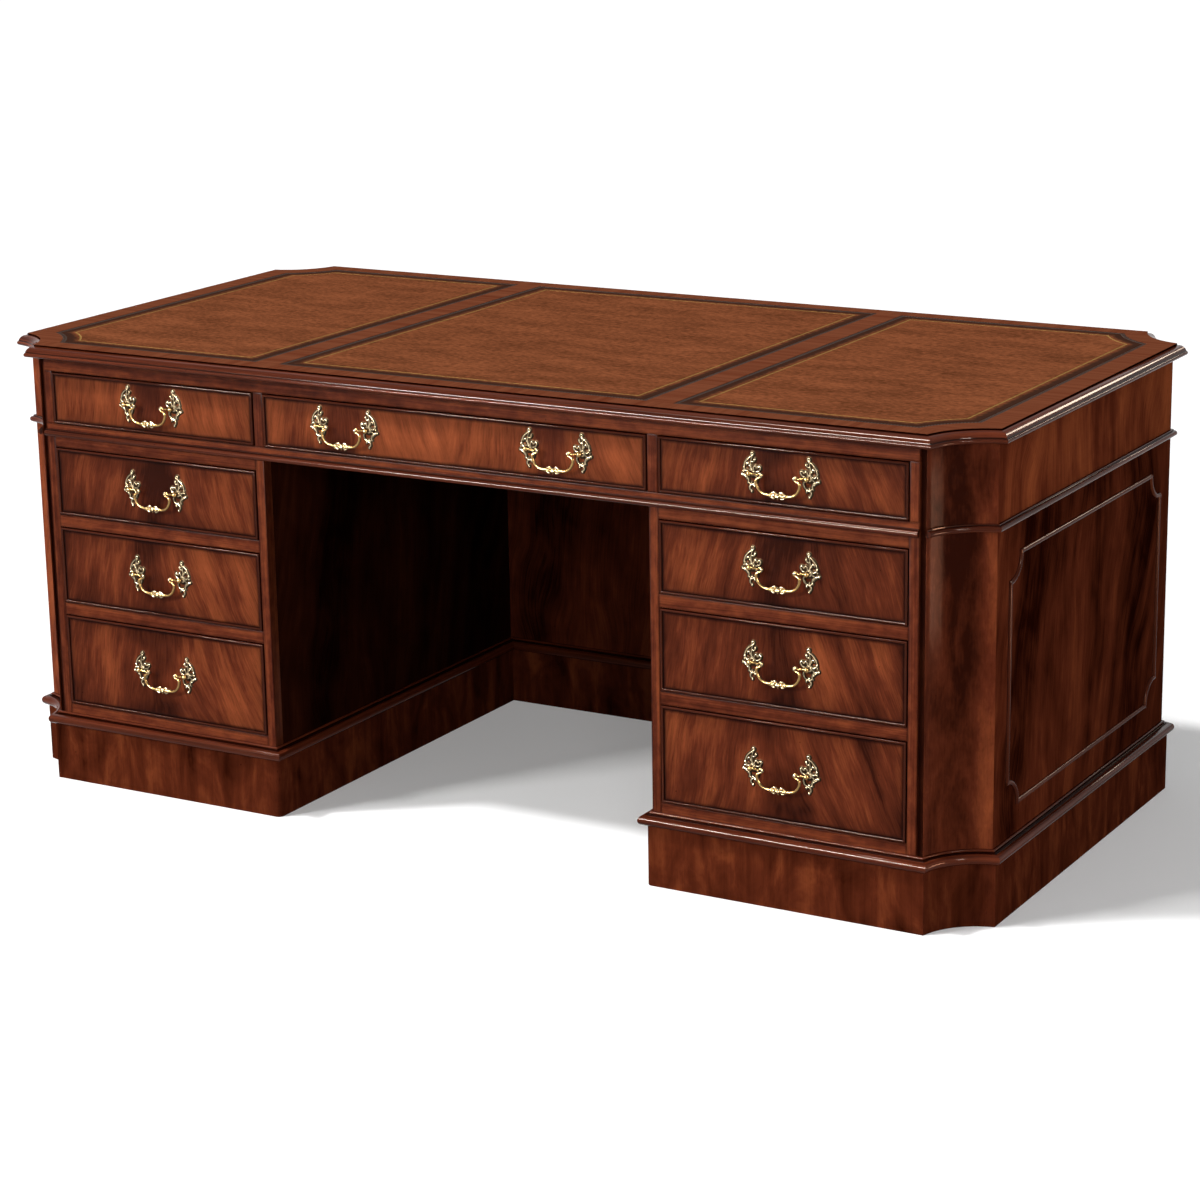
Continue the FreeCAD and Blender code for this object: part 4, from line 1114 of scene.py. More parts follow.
class DESK_OT_leathers(bpy.types.Operator):
    """Lays the three leathers, with their pressed lines and the marks of the tooling wheel."""
    bl_idname = "desk.leathers"
    bl_label = "Leathers"

    def execute(self, context):
        sizes = context.scene.desk_sizes
        circle = scoop_circle(sizes.scoop_depth)
        top = DESK_TOP - sizes.mark_height
        section = leather_section(sizes, top)
        mark = tool_mark(sizes)
        tree = wheel_tree()
        for node in LEATHERS:
            shape = Shape()
            shape.sweep(section, leather_line(node, circle), capped=True, tones=[-d for d, _ in section],
                        spread=lambda inset: leather_line(node, circle, inset))
            piece(node + "_hide", shape.finish(node, 20), finish_of("leather"), "carcase", "leather", node)
            loop = bpy.data.meshes.new("roll")
            track = [plan(p, top) for p in leather_line(node, circle, sizes.tooled_strip / 2)]
            loop.from_pydata(track, [(i, (i + 1) % len(track)) for i in range(len(track))], [])
            roll = grown(node + "_roll", tree, loop, {"Mark": mark, "Pitch": sizes.tool_pitch,
                                                      "Finish": finish_of("tool")})
            piece(node + "_roll", roll, finish_of("tool"), "carcase", "leather")
        bpy.data.objects.remove(mark)
        return {"FINISHED"}


# The carcase

def box_of(x0, x1, y0, y1, z0, z1):
    return Vector((min(x0, x1), y0, z0)), Vector((max(x0, x1), y1, z1))


def drawer_opening(name):
    """Lowest and highest corner of a drawer's front."""
    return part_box(name + "_drawer_front")


def front_board(shape, x0, x1, z0, z1, along, sizes):
    """Stile or rail on the drawer side, between two places across and two heights."""
    lowest, highest = box_of(x0, x1, -HALF_Y, FRAME_BACK, z0, z1)
    shape.board(lowest, highest, along, sizes.arris, sizes.painted_shade_margin)


def pedestal_frame(side, sign, sizes):
    """Stiles and rails round a pedestal's three drawers."""
    shape = Shape()
    gap = sizes.front_gap
    edges = [abs(corner.x) for corner in drawer_opening(side + "_top")]
    inner, outer = min(edges) - gap, max(edges) + gap
    for x0, x1 in ((KNEE, inner), (outer, STILE_OUTER)):
        front_board(shape, sign * x0, sign * x1, PLINTH_TOP, PEDESTAL_TOP, UPRIGHT, sizes)
    top = PEDESTAL_TOP
    for level in LEVELS:
        lowest, highest = drawer_opening(side + "_" + level)
        front_board(shape, sign * inner, sign * outer, highest.z + gap, top, ALONG_X, sizes)
        top = lowest.z - gap
    front_board(shape, sign * inner, sign * outer, PLINTH_TOP, top, ALONG_X, sizes)
    carve(side + "_frame", shape, "rail", "carcase", "mahogany_rail", side + "_pedestal_frame")


def frieze_frame(sizes):
    """Rails and stiles round the frieze's three drawers."""
    shape = Shape()
    gap = sizes.front_gap
    lowest, highest = drawer_opening("frieze_right")
    bottom, top = lowest.z - gap, highest.z + gap
    for z0, z1 in ((PEDESTAL_TOP, bottom), (top, FRIEZE_TOP)):
        front_board(shape, -STILE_OUTER, STILE_OUTER, z0, z1, ALONG_X, sizes)
    for sign in (-1, 1):
        for x0, x1 in ((CENTRE_OPENING + gap, lowest.x - gap), (highest.x + gap, STILE_OUTER)):
            front_board(shape, sign * x0, sign * x1, bottom, top, UPRIGHT, sizes)
    carve("frieze_frame", shape, "rail", "carcase", "mahogany_rail", "frieze_face_frame")


def case_panels(sizes):
    """Veneered sides and backs of the frieze and the pedestals, and the modesty panel."""
    arris, inside, reach = sizes.arris, HALF_X - sizes.case_thickness, HALF_Y - SCOOP_LEG
    shape = Shape()
    for sign in (-1, 1):
        side = box_of(sign * inside, sign * HALF_X, -reach, reach, PEDESTAL_TOP, FRIEZE_TOP)
        shape.board(*side, UPRIGHT, arris)
    back = box_of(-STILE_OUTER, STILE_OUTER, CASE_BACK, HALF_Y, PEDESTAL_TOP, FRIEZE_TOP)
    shape.board(*back, UPRIGHT, arris)
    carve("frieze_sides", shape, "frieze", "carcase", "mahogany_veneer", "frieze_panels")
    for side, sign in SIDES:
        shape = Shape()
        for x0, x1, y0, y1 in ((inside, HALF_X, -reach, reach), (KNEE, STILE_OUTER, CASE_BACK, HALF_Y)):
            shape.board(*box_of(sign * x0, sign * x1, y0, y1, PLINTH_TOP, PEDESTAL_TOP), UPRIGHT, arris)
        carve(side + "_case", shape, "veneer", "carcase", "mahogany_veneer", side + "_pedestal_case")
        shape = Shape()
        x0, x1 = sign * KNEE, sign * (KNEE + sizes.knee_thickness)
        shape.board(*box_of(x0, x1, FRAME_BACK, CASE_BACK, PLINTH_TOP, PEDESTAL_TOP), UPRIGHT, arris)
        carve(side + "_knee", shape, "knee", "carcase", "mahogany_veneer")
    shape = Shape()
    shape.board(*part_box("modesty_panel"), UPRIGHT, arris)
    carve("modesty_board", shape, "veneer", "carcase", "mahogany_veneer", "modesty_panel")


def plinth_boards(sizes):
    """Plinths of the pedestals, joined by the one under the modesty panel."""
    line = foot_outline(scoop_circle(sizes.scoop_depth))
    corners = set()
    for i, p in enumerate(line):
        if abs(abs(p.x) - KNEE) < MM and abs(abs(p.y) - HALF_Y) < MM:
            corners.add(i)
    wall = rectangle(PLINTH_PROUD - sizes.plinth_thickness, PLINTH_PROUD, 0, PLINTH_TOP)
    shape = Shape()
    shape.sweep(wall, softened(line, corners, sizes.plinth_arris), upright=True)
    carve("plinth_boards", shape, "plinth", "carcase", "mahogany_plinth", "left_plinth", "right_plinth",
          "modesty_plinth")


class DESK_OT_carcase(bpy.types.Operator):
    """Makes the frames, the veneered sides and the plinths, and gives the boards inside their finish."""
    bl_idname = "desk.carcase"
    bl_label = "Carcase"

    def execute(self, context):
        sizes = context.scene.desk_sizes
        for side, sign in SIDES:
            pedestal_frame(side, sign, sizes)
        frieze_frame(sizes)
        case_panels(sizes)
        plinth_boards(sizes)
        for node in INNER_BOARDS:
            mesh = frame["nodes"][node].data
            mesh.materials.clear()
            mesh.materials.append(finish_of("oak"))
        return {"FINISHED"}


class DESK_OT_columns(bpy.types.Operator):
    """Makes the scooped corner columns and the grooves beside them."""
    bl_idname = "desk.columns"
    bl_label = "Columns"

    def execute(self, context):
        sizes = context.scene.desk_sizes
        corner = scoop(HALF_X, HALF_Y, scoop_circle(sizes.scoop_depth), 22)
        floor, groove_shade = HALF_Y - sizes.groove_depth, 0.8
        lap, depth = 0.035, 0.060
        line = [Vector((STILE_OUTER, floor)), Vector((corner[0].x, floor))]
        front_edge = len(line)
        line += corner + [corner[-1] - Vector((lap, 0)), Vector((STILE_OUTER, HALF_Y - depth))]
        outline = softened(line, {front_edge}, sizes.column_arris)
        shape = Shape()
        for z0, z1 in ((PLINTH_TOP, PEDESTAL_TOP), (PEDESTAL_TOP, FRIEZE_TOP)):
            levels = [Vector((0, z0)), Vector((0, z1))]
            for sx, sy in CORNERS:
                shape.sweep(levels, turned_corner(outline, sx, sy), upright=True, capped=True)
        # Painted shade on the floor of each groove
        for vert in shape.mesh.verts:
            vert[shape.tone] = groove_shade * (abs(abs(vert.co.y) - floor) < 0.1 * MM)
        piece("columns", shape.finish("columns", 40), finish_of("column"), "carcase", "mahogany_crotch",
              "corner_posts")
        return {"FINISHED"}


# The mouldings

def astragal_section():
    """Fillet and bead over the joint of the frieze and the pedestals."""
    bottom, top = low("astragal_moulding").z, high("astragal_moulding").z
    proud = high("astragal_moulding").x - HALF_X
    fillet, step = 0.004, 0.002
    points = traced([(0, bottom), (0, top), (fillet, top), (fillet, top - step),
                     ((proud, (bottom + top - step) / 2), (fillet, bottom))], 10)
    # Tones: painted shade in the quirks beside the fillet and the bead
    tones = [0.0, 1.0, 0.2, 1.0, 0.5] + [0.0] * (len(points) - 6) + [1.0]
    return points, tones


def base_section():
    """Bead, fillet and torus over the plinth."""
    bottom, top = low("base_mouldings").z, high("base_mouldings").z
    proud = high("base_mouldings").x - HALF_X
    bead, fillet, step, foot = 0.004, 0.006, 0.002, PLINTH_PROUD + 0.003
    shoulder = top - bead
    crown = shoulder - step
    small = ((bead, (top + shoulder) / 2), (bead / 2, shoulder))
    torus = ((proud, (bottom + crown) / 2), (foot, bottom))
    path = [(0, bottom), (0, top), (bead / 2, top), small, (fillet, shoulder), (fillet, crown), torus]
    points = traced(path, 10)
    # Tones: painted shade in the quirks between the bead, the fillet and the torus
    tones = [0.0] * len(points)
    tones[1] = 1.0
    tones[12:16] = 1.0, 1.0, 1.0, 0.5
    tones[-1] = 1.0
    return points, tones


def bead_panel(shape, x0, x1, z0, z1, place, sizes):
    """Applied half-round bead: four runs, and four hollow corners whose ends stand past them."""
    half, radius, horn = sizes.panel_bead / 2, sizes.panel_corner, math.radians(5)
    section = traced([(-half, 0), ((0, half), (half, 0))], 8)
    # Tones: painted shade at the bead's feet, and a darker crown
    tones = [0.9] + [0.35] * (len(section) - 2) + [0.9]
    corners = rectangle(x0, x1, z0, z1)
    for i, corner in enumerate(corners):
        after = corners[(i + 1) % 4]
        way = (after - corner).normalized() * radius
        shape.sweep(section, [corner + way, after - way], place, False, tones=tones)
        start = i * math.pi / 2
        hollow = arc(corner, radius, start + math.pi / 2 + horn, start - horn, 12)
        shape.sweep(section, hollow, place, False, tones=tones)


class DESK_OT_mouldings(bpy.types.Operator):
    """Makes the astragal, the base moulding and the applied panel beads."""
    bl_idname = "desk.mouldings"
    bl_label = "Mouldings"

    def execute(self, context):
        sizes = context.scene.desk_sizes
        circle = scoop_circle(sizes.scoop_depth)
        corner = scoop(HALF_X, HALF_Y, circle)
        points, tones = astragal_section()
        shape = Shape()
        for sign in (-1, 1):
            ends = [Vector((x, -sign * HALF_Y)) for x in (-sign * STILE_OUTER, sign * STILE_OUTER)]
            shape.sweep(points, ends, ring=False, tones=tones)
        for sx in (1, -1):
            side = turned_corner(corner, sx, -sx) + turned_corner(corner, sx, sx)
            shape.sweep(points, side, ring=False, tones=tones)
        carve("astragal", shape, "moulding", "carcase", "mahogany_moulding", "astragal_moulding")
        points, tones = base_section()
        shape = Shape()
        shape.sweep(points, foot_outline(circle), tones=tones)
        carve("base_moulding", shape, "moulding", "carcase", "mahogany_moulding", "base_mouldings")
        lowest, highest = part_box("panel_mouldings")
        half, margin = sizes.panel_bead / 2, sizes.panel_margin
        z0, z1 = lowest.z + half, highest.z - half
        reach = HALF_Y - SCOOP_LEG - margin
        shape = Shape()
        for sign in (-1, 1):
            bead_panel(shape, -reach, reach, z0, z1,
                       lambda p, h: Vector((sign * (HALF_X + h), sign * p.x, p.y)), sizes)
            bead_panel(shape, KNEE + margin, STILE_OUTER - margin, z0, z1,
                       lambda p, h: Vector((sign * p.x, HALF_Y + h, p.y)), sizes)
        carve("panel_beads", shape, "bead", "carcase", "mahogany_moulding", "panel_mouldings")
        return {"FINISHED"}


# The drawers

# Tone of each leaf of veneer at its left and right ends, brightest towards the middle of the desk: partly
# each leaf's own tone, partly painted light
LEAF_TONE_AND_LIGHT = {"frieze_left": (0.07, 0.17), "frieze_centre": (0.18, 0.18), "frieze_right": (0.03, -0.02),
          "left": (-0.10, 0.09), "right": (0.01, -0.06)}


def drawer_front(name, order, sizes):
    """Veneered front of a drawer and the cockbead round it."""
    (x0, nose, z0), (x1, back, z1) = drawer_opening(name)
    width, rebate = sizes.cockbead, nose + sizes.cockbead_depth
    line = rectangle(x0, x1, z0, z1)
    shape = Shape()
    soft = 0.0003
    section = [(0, back), (0, rebate), (-width, rebate), (-width, soft - HALF_Y), (-width - soft, -HALF_Y)]
    shape.sweep([Vector(p) for p in section], line, front, capped=True, still=True)
    panel = shape.mesh.verts.layers.float_vector.new("panel")
    middle = Vector(((x0 + x1) / 2, (z0 + z1) / 2))
    leaf_tone_and_light = LEAF_TONE_AND_LIGHT.get(name) or LEAF_TONE_AND_LIGHT[name.split("_")[0]]
    seed_step = 5.3
    seed = order * seed_step
    for vert in shape.mesh.verts:
        vert[panel] = ((x1 - x0) / 2 - width, (z1 - z0) / 2 - width, seed)
        # Each end of the front takes its leaf's tone with painted light
        vert[shape.tone] = leaf_tone_and_light[vert.co.x > middle.x]
    for part in shape.mesh.faces:
        for loop in part.loops:
            loop[shape.grain].uv = loop.vert.co.xz - middle
    body = name + "_drawer"
    carve(name + "_veneer", shape, "crotch", body, "mahogany_crotch", name + "_drawer_front")
    bead = Shape()
    square = nose + width / 2
    path = [(-width, rebate), (0, rebate), (0, square), ((-width / 2, nose), (-width, square))]
    points = traced(path, 8)
    # Tones: painted shade in the rebate and where the bead meets the veneer, and a darker body
    bead.sweep(points, line, front, tones=[1.0, 1.0, 1.0] + [0.4] * (len(points) - 4) + [1.0])
    carve(name + "_cockbead", bead, "moulding", body, "mahogany_moulding")


def dovetails(shape, x0, x1, shoulder, tip, z0, z1):
    """Tails of a drawer side, which show a hair proud of the front that they are let into."""
    usual_pitch = 0.032
    count = round((z1 - z0) / usual_pitch)
    pitch = (z1 - z0) / count
    narrow, wide = pitch * 0.25, pitch * 0.33
    for i in range(count):
        z = z0 + (i + 0.5) * pitch
        trapeze = [(shoulder, z - narrow), (tip, z - wide), (tip, z + wide), (shoulder, z + narrow)]
        shape.skin([[shape.mesh.verts.new((x, *spot)) for spot in trapeze] for x in (x0, x1)])


def drawer_box(name, sizes):
    """Dovetailed sides, back and bottom of a drawer."""
    (x0, tip, z0), (x1, y1, z1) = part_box(name + "_drawer_box")
    y0 = drawer_opening(name)[1].y
    t, floor = sizes.drawer_side, z0 + sizes.drawer_rise
    proud = 0.0002
    shape = Shape()
    for side in (x0, x1 - t):
        shape.board(*box_of(side, side + t, y0, y1, z0, z1), ALONG_Y, sizes.arris)
        dovetails(shape, side - proud, side + t + proud, y0, tip, z0, z1)
    shape.board(*box_of(x0 + t, x1 - t, y1 - t, y1, floor, z1), ALONG_X, sizes.arris)
    bottom = box_of(x0 + t, x1 - t, y0, y1 - t, floor, floor + sizes.drawer_bottom)
    shape.board(*bottom, ALONG_X, sizes.arris)
    carve(name + "_box", shape, "oak", name + "_drawer", "oak", name + "_drawer_box")


class DESK_OT_drawers(bpy.types.Operator):
    """Makes the nine drawers with their cockbeaded fronts."""
    bl_idname = "desk.drawers"
    bl_label = "Drawers"

    def execute(self, context):
        sizes = context.scene.desk_sizes
        for order, name in enumerate(DRAWERS):
            drawer_front(name, order, sizes)
            drawer_box(name, sizes)
        return {"FINISHED"}


# The handles, drawn in millimetres about a post, with +x towards the outside of the pair. The third
# number of a point is the half width of the casting there.

PLATE_SCROLLS = [
    [(0, 4, 1.5), (1.6, 9, 1.3), (1.7, 14.5, 1.2), (0.7, 20, 1.1), (-0.8, 24.4, 1.2)],
    [(0.9, 16.4, 1.0), (-2.2, 15.8, 1.3), (-4.4, 17.6, 1.6), (-4.7, 20, 1.5)],
    [(-0.4, 24, 1.0), (4.6, 21.2, 1.2), (9, 16.6, 1.4), (11.8, 11.4, 1.5), (12.8, 6.2, 1.3)],
    [(1.8, 4.4, 1.2), (2.8, 9.6, 1.2), (5.4, 13, 1.3), (8.2, 12.6, 1.3), (8.6, 10, 1.1)],
    [(3.4, 0.8, 1.5), (8, 0.8, 1.5), (11.4, 3, 1.3), (12.8, 6.2, 1.2)],
    [(-2.4, 3.2, 1.3), (-3.6, 8, 1.3), (-6, 9.8, 1.5), (-8.8, 6.6, 1.3), (-10.6, 8.6, 1.4), (-13, 9.4, 1.5),
     (-14.4, 6.4, 1.4), (-11.8, 2.4, 1.4), (-7.2, 0.8, 1.3), (-3.2, 0.6, 1.2)],
    [(15.8, -4.3, 1.2), (11.4, -5.4, 1.7), (7.4, -8, 1.7), (5.2, -12, 1.5), (5.6, -15.6, 1.4),
     (6.6, -17.4, 1.1)],
    [(3.4, -2, 1.4), (6.6, -3.4, 1.4), (8.6, -6.4, 1.2)],
    [(-2.8, -3.4, 1.4), (-8, -6.2, 1.4), (-9.4, -10.4, 1.4), (-7.4, -15.4, 1.4), (-3.2, -17.8, 1.3)],
    [(-3.2, -17.8, 1.3), (0.6, -19.4, 1.4), (5, -16.2, 1.2)],
    [(0.2, -19, 1.4), (3, -21.8, 1.5), (3, -25.4, 1.4), (0.6, -28, 1.2)],
    [(-2.6, -18.6, 1.2), (-4.8, -20.4, 1.4), (-4.2, -22.4, 1.1)],
]
PLATE_BUDS = [(-4.8, 19.6, 2.1), (13, 6.3, 2.0), (16, -4.2, 1.9), (-4.5, -20.6, 1.7), (0.2, -28.9, 1.9),
              (3.9, 9.4, 1.4), (0.3, -16.2, 1.5), (12.4, -7, 1.3), (9.8, -8.4, 1.3), (8, -10.6, 1.3),
              (13.6, 1.2, 1.5), (-14.2, 8, 1.6)]
PLATE_CREST = (-0.9, 27.4, 2.1)
# Openings filled by the dark sheet behind the plate: painted shade
PLATE_SHADE_WEBS = [[(0, -4, 4.6), (0, 0, 6), (-0.5, 6, 4.2), (0.6, 14, 2.2), (0, 22, 1.6)],
              [(-3, 4, 3), (-7, 5, 3.2), (-11, 5.6, 3)], [(5, -1, 2.6), (9, 2, 2.4)]]
BAIL_LINE = [(37.8, 0, 1.7), (35.6, -0.8, 1.5), (33.9, -1.3, 1.5), (32.5, -0.3, 1.5), (31.1, 1, 1.6),
             (29.2, 1.1, 1.8), (27.6, 0.1, 1.9), (26.9, -1.6, 1.9), (27.4, -3.4, 1.7), (28.9, -4.6, 1.7),
             (32.7, -6, 2), (35.1, -7.8, 2.5), (36, -10.7, 2.7), (35.8, -13.6, 2.3), (34.5, -17.8, 2.3),
             (30.5, -23.9, 2.2), (24.4, -28, 2.2), (17.2, -29.4, 2.3), (8, -29.4, 2.4), (0, -29.4, 2.4)]
BAIL_CURLS = [[(11.6, -30.8, 1.1), (9, -33.4, 1.4), (6.2, -34, 1.3), (4.9, -31.8, 1)],
              [(2.4, -26.2, 1), (5.2, -24.5, 1.3), (8.8, -25.6, 1.3), (12.4, -27.8, 1)]]
BAIL_KNOP = [(28.6, 1.6, 1.6), (27.6, 0.2, 2.9), (27, -1.8, 2.9), (27.4, -3.6, 1.8)]
BAIL_DROP = [(0, -31, 1.7), (0, -33.4, 1.5), (0, -35, 0.9)]
BAIL_AXIS = -29.4
BAIL_SHOULDER = BAIL_LINE[0][0]
SCROLL_DEPTH, SCROLL_LIFT = 1.1, 1.1
# Dark sheet behind the scrolls, wider than them: painted shade
SHADE_SHEET_SPARE, SHADE_SHEET_DEPTH = 1.7, 0.16

# Turned pieces as (radius, place along the axis)
POST_FOOT = [(5.6, 0), (5.8, -1.6), (5.0, -2.4), (4.2, -2.6), (3.4, -3.6), (2.5, -4.6), (2.4, -5.8)]
POST_NUT = [(5.0, 20.2), (5.0, 23.6), (4.6, 24.0)]
BAIL_COLLAR = [(1.6, 0), (2.4, 0.4), (2.6, 1.4), (1.9, 2.2), (2.4, 3.0), (2.5, 4.0), (1.5, 4.5), (1.5, 9.5)]


def relief(lines, sign, spare, depth, lift):
    """Bars on the drawer's face along scrolls, each wider by the spare and raised by the lift."""
    shape = Shape()
    for line in lines:
        shape.tube([(sign * x, z, r + spare) for x, z, r in line], 8, depth)
    for vert in shape.mesh.verts:
        vert.co.y = min(vert.co.y - lift, 0)
    return shape


def plate_lines():
    """Scrolls of the plate, with its buds and its ring crest as short scrolls."""
    buds = [[(x, z - r * 0.4, r * 0.9), (x, z, r), (x, z + r * 0.4, r * 0.85)] for x, z, r in PLATE_BUDS]
    x, z, size = PLATE_CREST
    turns = [math.radians(a) for a in range(-90, 271, 30)]
    crest = [(x + size * math.cos(t), z + size * math.sin(t), 1.2) for t in turns]
    return PLATE_SCROLLS + buds + [crest]


def post_fitting(sign):
    """Pierced plate over a dark sheet of painted shade, ball post and nut about one post, on the plane of
    the drawer's face.
    """
    lines = plate_lines()
    shape = relief(lines, sign, 0.0, SCROLL_DEPTH, SCROLL_LIFT)
    # Dark sheet behind the scrolls and across some openings: painted shade
    shape.add(relief(lines + PLATE_SHADE_WEBS, sign, SHADE_SHEET_SPARE, SHADE_SHEET_DEPTH, 0.0))
    standoff, ball, tip = 10.8, 4.8, 0.3
    shape.turning(POST_FOOT)
    turns = [math.radians(a) for a in range(30, 180, 12)]
    globe = [(ball * math.sin(a), -standoff + ball * math.cos(a)) for a in turns]
    shape.turning(globe + [(tip, -standoff - ball)])
    nut = Shape()
    nut.turning(POST_NUT, 6)
    shape.add(nut)
    shape.mesh.transform(Matrix.Scale(MM, 4))
    return shape.finish("fitting", 50)


def bail_leaf(shape):
    """Leaf carved round the middle of the bail: veined, with scallops below and dark hollows."""
    rows = []
    sides, steps, reach = 20, 64, 19.0
    for i in range(steps + 1):
        x = reach * (2 * i / steps - 1)
        swell = math.cos(x / reach * math.pi / 2) ** 0.8 if i % steps else 0.0
        scallop = 0.5 + 0.5 * math.cos(x * 2 * math.pi / 6.4)
        ring = []
        for k in range(sides):
            turn = 2 * math.pi * k / sides
            vein = math.cos(5 * turn + abs(x) * 0.9)
            below = max(-math.sin(turn), 0) ** 2
            radius = 2.2 + swell * (0.9 + 0.45 * vein + 0.5 * scallop + 1.3 * below * scallop)
            spot = (x, radius * math.cos(turn) * 0.9, BAIL_AXIS + radius * math.sin(turn))
            ring.append(shape.mesh.verts.new(spot))
            ring[-1][shape.tone] = swell * (max(-vein, 0.7 - scallop * 1.4, 0) * 1.6 - 0.6)
        rows.append(ring)
    shape.skin(rows)


def bail_mesh():
    """Swan-neck bail about its pin axis."""
    shape = Shape()
    for sign in (-1, 1):
        for line, rub in [(BAIL_LINE, 0.0), (BAIL_KNOP, 0.7)] + [(curl, 0.7) for curl in BAIL_CURLS]:
            shape.tube([(sign * x, z, r) for x, z, r in line], 12, rub=rub)
        collar = Shape()
        collar.turning(BAIL_COLLAR)
        turned = Matrix.Rotation(-sign * math.pi / 2, 4, "Z")
        shape.add(collar, Matrix.Translation((sign * BAIL_SHOULDER, 0, 0)) @ turned)
    shape.tube(BAIL_DROP, 10)
    bail_leaf(shape)
    shape.mesh.transform(Matrix.Scale(MM, 4))
    return shape.finish("bail", 45)


class DESK_OT_handles(bpy.types.Operator):
    """Hangs the brass swan-neck bails between their pierced plates."""
    bl_idname = "desk.handles"
    bl_label = "Handles"

    def execute(self, context):
        pivots = {j["child"]: Vector(j["pos_m"]) for j in frame["joints"] if j["type"] == "hinge"}
        owners = {j["child"]: j["parent"] for j in frame["joints"] if j["type"] == "hinge"}
        fittings = [spare_object("fitting", post_fitting(sign)) for sign in (-1, 1)]
        tree = pair_tree()
        for name in DRAWERS:
            body = name + "_drawer"
            spots, hands = [], []
            for bail, owner in owners.items():
                if owner == body:
                    half = (high(bail).x - low(bail).x) / 2
                    for hand in (-1, 1):
                        spots.append((pivots[bail].x + hand * half, -HALF_Y, pivots[bail].z))
                        hands.append(max(hand, 0))
            points = bpy.data.meshes.new("posts")
            points.from_pydata(spots, [], [])
            points.attributes.new("hand", "FLOAT", "POINT").data.foreach_set("value", hands)
            pieces = {"Left piece": fittings[0], "Right piece": fittings[1], "Finish": finish_of("brass")}
            mesh = grown(name + "_fittings", tree, points, pieces)
            piece(name + "_fittings", mesh, finish_of("brass"), body, "brass", name + "_handle_plates")
        for fitting in fittings:
            bpy.data.objects.remove(fitting)
        shared = bail_mesh()
        for bail, pivot in pivots.items():
            mesh = shared.copy()
            mesh.transform(Matrix.Translation(pivot))
            piece(bail + "_swan", mesh, finish_of("brass"), bail, "brass", bail)
        return {"FINISHED"}


# The studio

# Soft boxes as place, target, width and height in metres, watts and colour. The fills only light the
# desk, and the shines are only mirrored in it.
WHITE = (1.0, 1.0, 1.0)
FILLS = {
    "front": ((-5.7, -7.8, 4.6), (0.0, -0.3, 0.45), (1.8, 1.4), 760, WHITE),
    "side": ((3.0, -4.6, 2.0), (0.3, -0.3, 0.4), (1.2, 1.2), 52, WHITE),
    "edge": ((4.0, -1.3, 0.55), (0.9, -0.3, 0.45), (1.2, 0.5), 21, WHITE),
}
SHINES = {
    "rim": ((1.8, 3.1, 1.9), (0.9, 0.0, 0.6), (0.5, 0.5), 24, (1.0, 0.82, 0.64)),
    "key": ((-1.8, -4.5, 1.75), (0.4, -0.4, 0.5), (2.0, 0.7), 1400, WHITE),
    "glint": ((3.36, -1.66, 1.65), (0.86, -0.41, 0.45), (0.9, 0.5), 150, WHITE),
    "strip": ((2.33, -0.05, 0.18), (0.87, -0.40, 0.4), (0.62, 0.34), 46, (1.0, 0.55, 0.35)),
}
SUN_POWER, SUN_ANGLE, SUN_WAY = 2.6, math.radians(5), (0.40, 0.30, -0.866)
WORLD_LEVEL = 0.30
FLOOR_REACH = 40.0
SENSOR_MM = 36


def aimed(way):
    """Turn of a lamp that shines along a way."""
    return Vector(way).to_track_quat("-Z", "Y").to_euler()


def area_light(name, place, target, size, power, paint):
    """Soft box that the camera doesn't see."""
    lamp = bpy.data.lights.new(name, "AREA")
    lamp.shape, lamp.size, lamp.size_y = "RECTANGLE", *size
    lamp.energy, lamp.color = power, paint
    made = spare_object(name, lamp)
    made.location = place
    made.rotation_euler = aimed(Vector(target) - Vector(place))
    made.visible_camera = False
    return made


def set_lights():
    """Sun, fills and shines."""
    sun = bpy.data.lights.new("sun", "SUN")
    sun.energy, sun.angle = SUN_POWER, SUN_ANGLE
    spare_object("sun", sun).rotation_euler = aimed(SUN_WAY)
    for name, box in FILLS.items():
        area_light(name, *box).visible_glossy = False
    for name, box in SHINES.items():
        area_light(name, *box).visible_diffuse = False


def set_camera(scene):
    """Camera at the fitted place, turned by its azimuth, elevation and roll."""
    view = scene.desk_camera
    camera = spare_object("camera", bpy.data.cameras.new("camera"))
    camera.data.lens, camera.data.sensor_width = view.lens, SENSOR_MM
    camera.location = view.eye
    a, e, r = view.azimuth, view.elevation, view.roll
    back = Vector((math.sin(a) * math.cos(e), -math.cos(a) * math.cos(e), math.sin(e)))
    right = Vector((math.cos(a), math.sin(a), 0))
    across = right * math.cos(r) + back.cross(right) * math.sin(r)
    camera.rotation_euler = Matrix((across, back.cross(across), back)).transposed().to_euler()
    scene.camera = camera


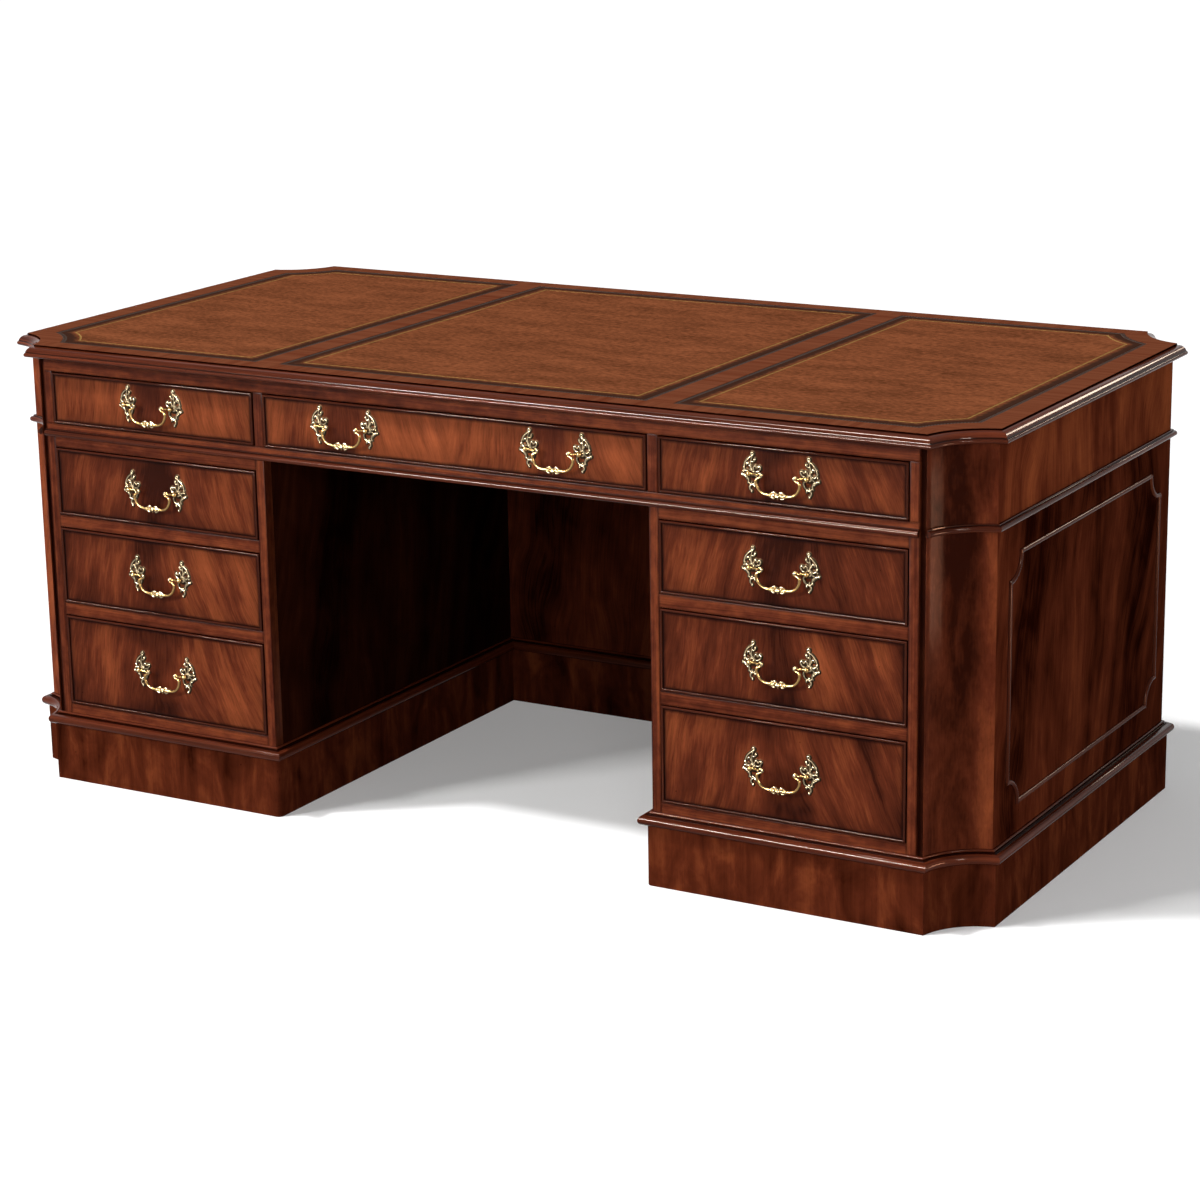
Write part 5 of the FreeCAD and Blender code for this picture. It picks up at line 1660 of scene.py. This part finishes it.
class DESK_OT_stage(bpy.types.Operator):
    """Sets the floor, the lights and the camera."""
    bl_idname = "desk.stage"
    bl_label = "Stage"

    def execute(self, context):
        scene = context.scene
        mesh = bpy.data.meshes.new("floor")
        corners = rectangle(-FLOOR_REACH, FLOOR_REACH, -FLOOR_REACH, FLOOR_REACH)
        mesh.from_pydata([plan(p, 0) for p in corners], [], [(0, 1, 2, 3)])
        mesh.materials.append(finish_of("floor"))
        floor = spare_object("floor", mesh)
        scene.world = studio_world(WORLD_LEVEL)
        set_lights()
        set_camera(scene)
        scene.view_settings.view_transform = "Standard"
        return {"FINISHED"}


class DESK_PT_panel(bpy.types.Panel):
    """Lists the desk's pieces in the sidebar."""
    bl_label = "Pedestal Desk"
    bl_idname = "DESK_PT_panel"
    bl_space_type = "VIEW_3D"
    bl_region_type = "UI"
    bl_category = "Desk"

    def draw(self, context):
        for operator in OPERATORS:
            self.layout.operator(operator.bl_idname)
        for group in (context.scene.desk_sizes, context.scene.desk_colours, context.scene.desk_camera):
            box = self.layout.box()
            for key in group.__annotations__:
                box.prop(group, key)


GROUPS = {"desk_sizes": DeskSizes, "desk_colours": DeskColours, "desk_camera": DeskCamera}
OPERATORS = (DESK_OT_top, DESK_OT_leathers, DESK_OT_carcase, DESK_OT_columns, DESK_OT_mouldings,
             DESK_OT_drawers, DESK_OT_handles, DESK_OT_stage)


def register():
    for item in (*GROUPS.values(), *OPERATORS, DESK_PT_panel):
        bpy.utils.register_class(item)
    for key, group in GROUPS.items():
        setattr(bpy.types.Scene, key, PointerProperty(type=group))


def unregister():
    for key in GROUPS:
        delattr(bpy.types.Scene, key)
    for item in (DESK_PT_panel, *reversed(OPERATORS), *GROUPS.values()):
        bpy.utils.unregister_class(item)


def main():
    register()
    for make in (bpy.ops.desk.top, bpy.ops.desk.leathers, bpy.ops.desk.carcase, bpy.ops.desk.columns,
                 bpy.ops.desk.mouldings, bpy.ops.desk.drawers, bpy.ops.desk.handles, bpy.ops.desk.stage):
        make()


if __name__ == "__main__":
    main()
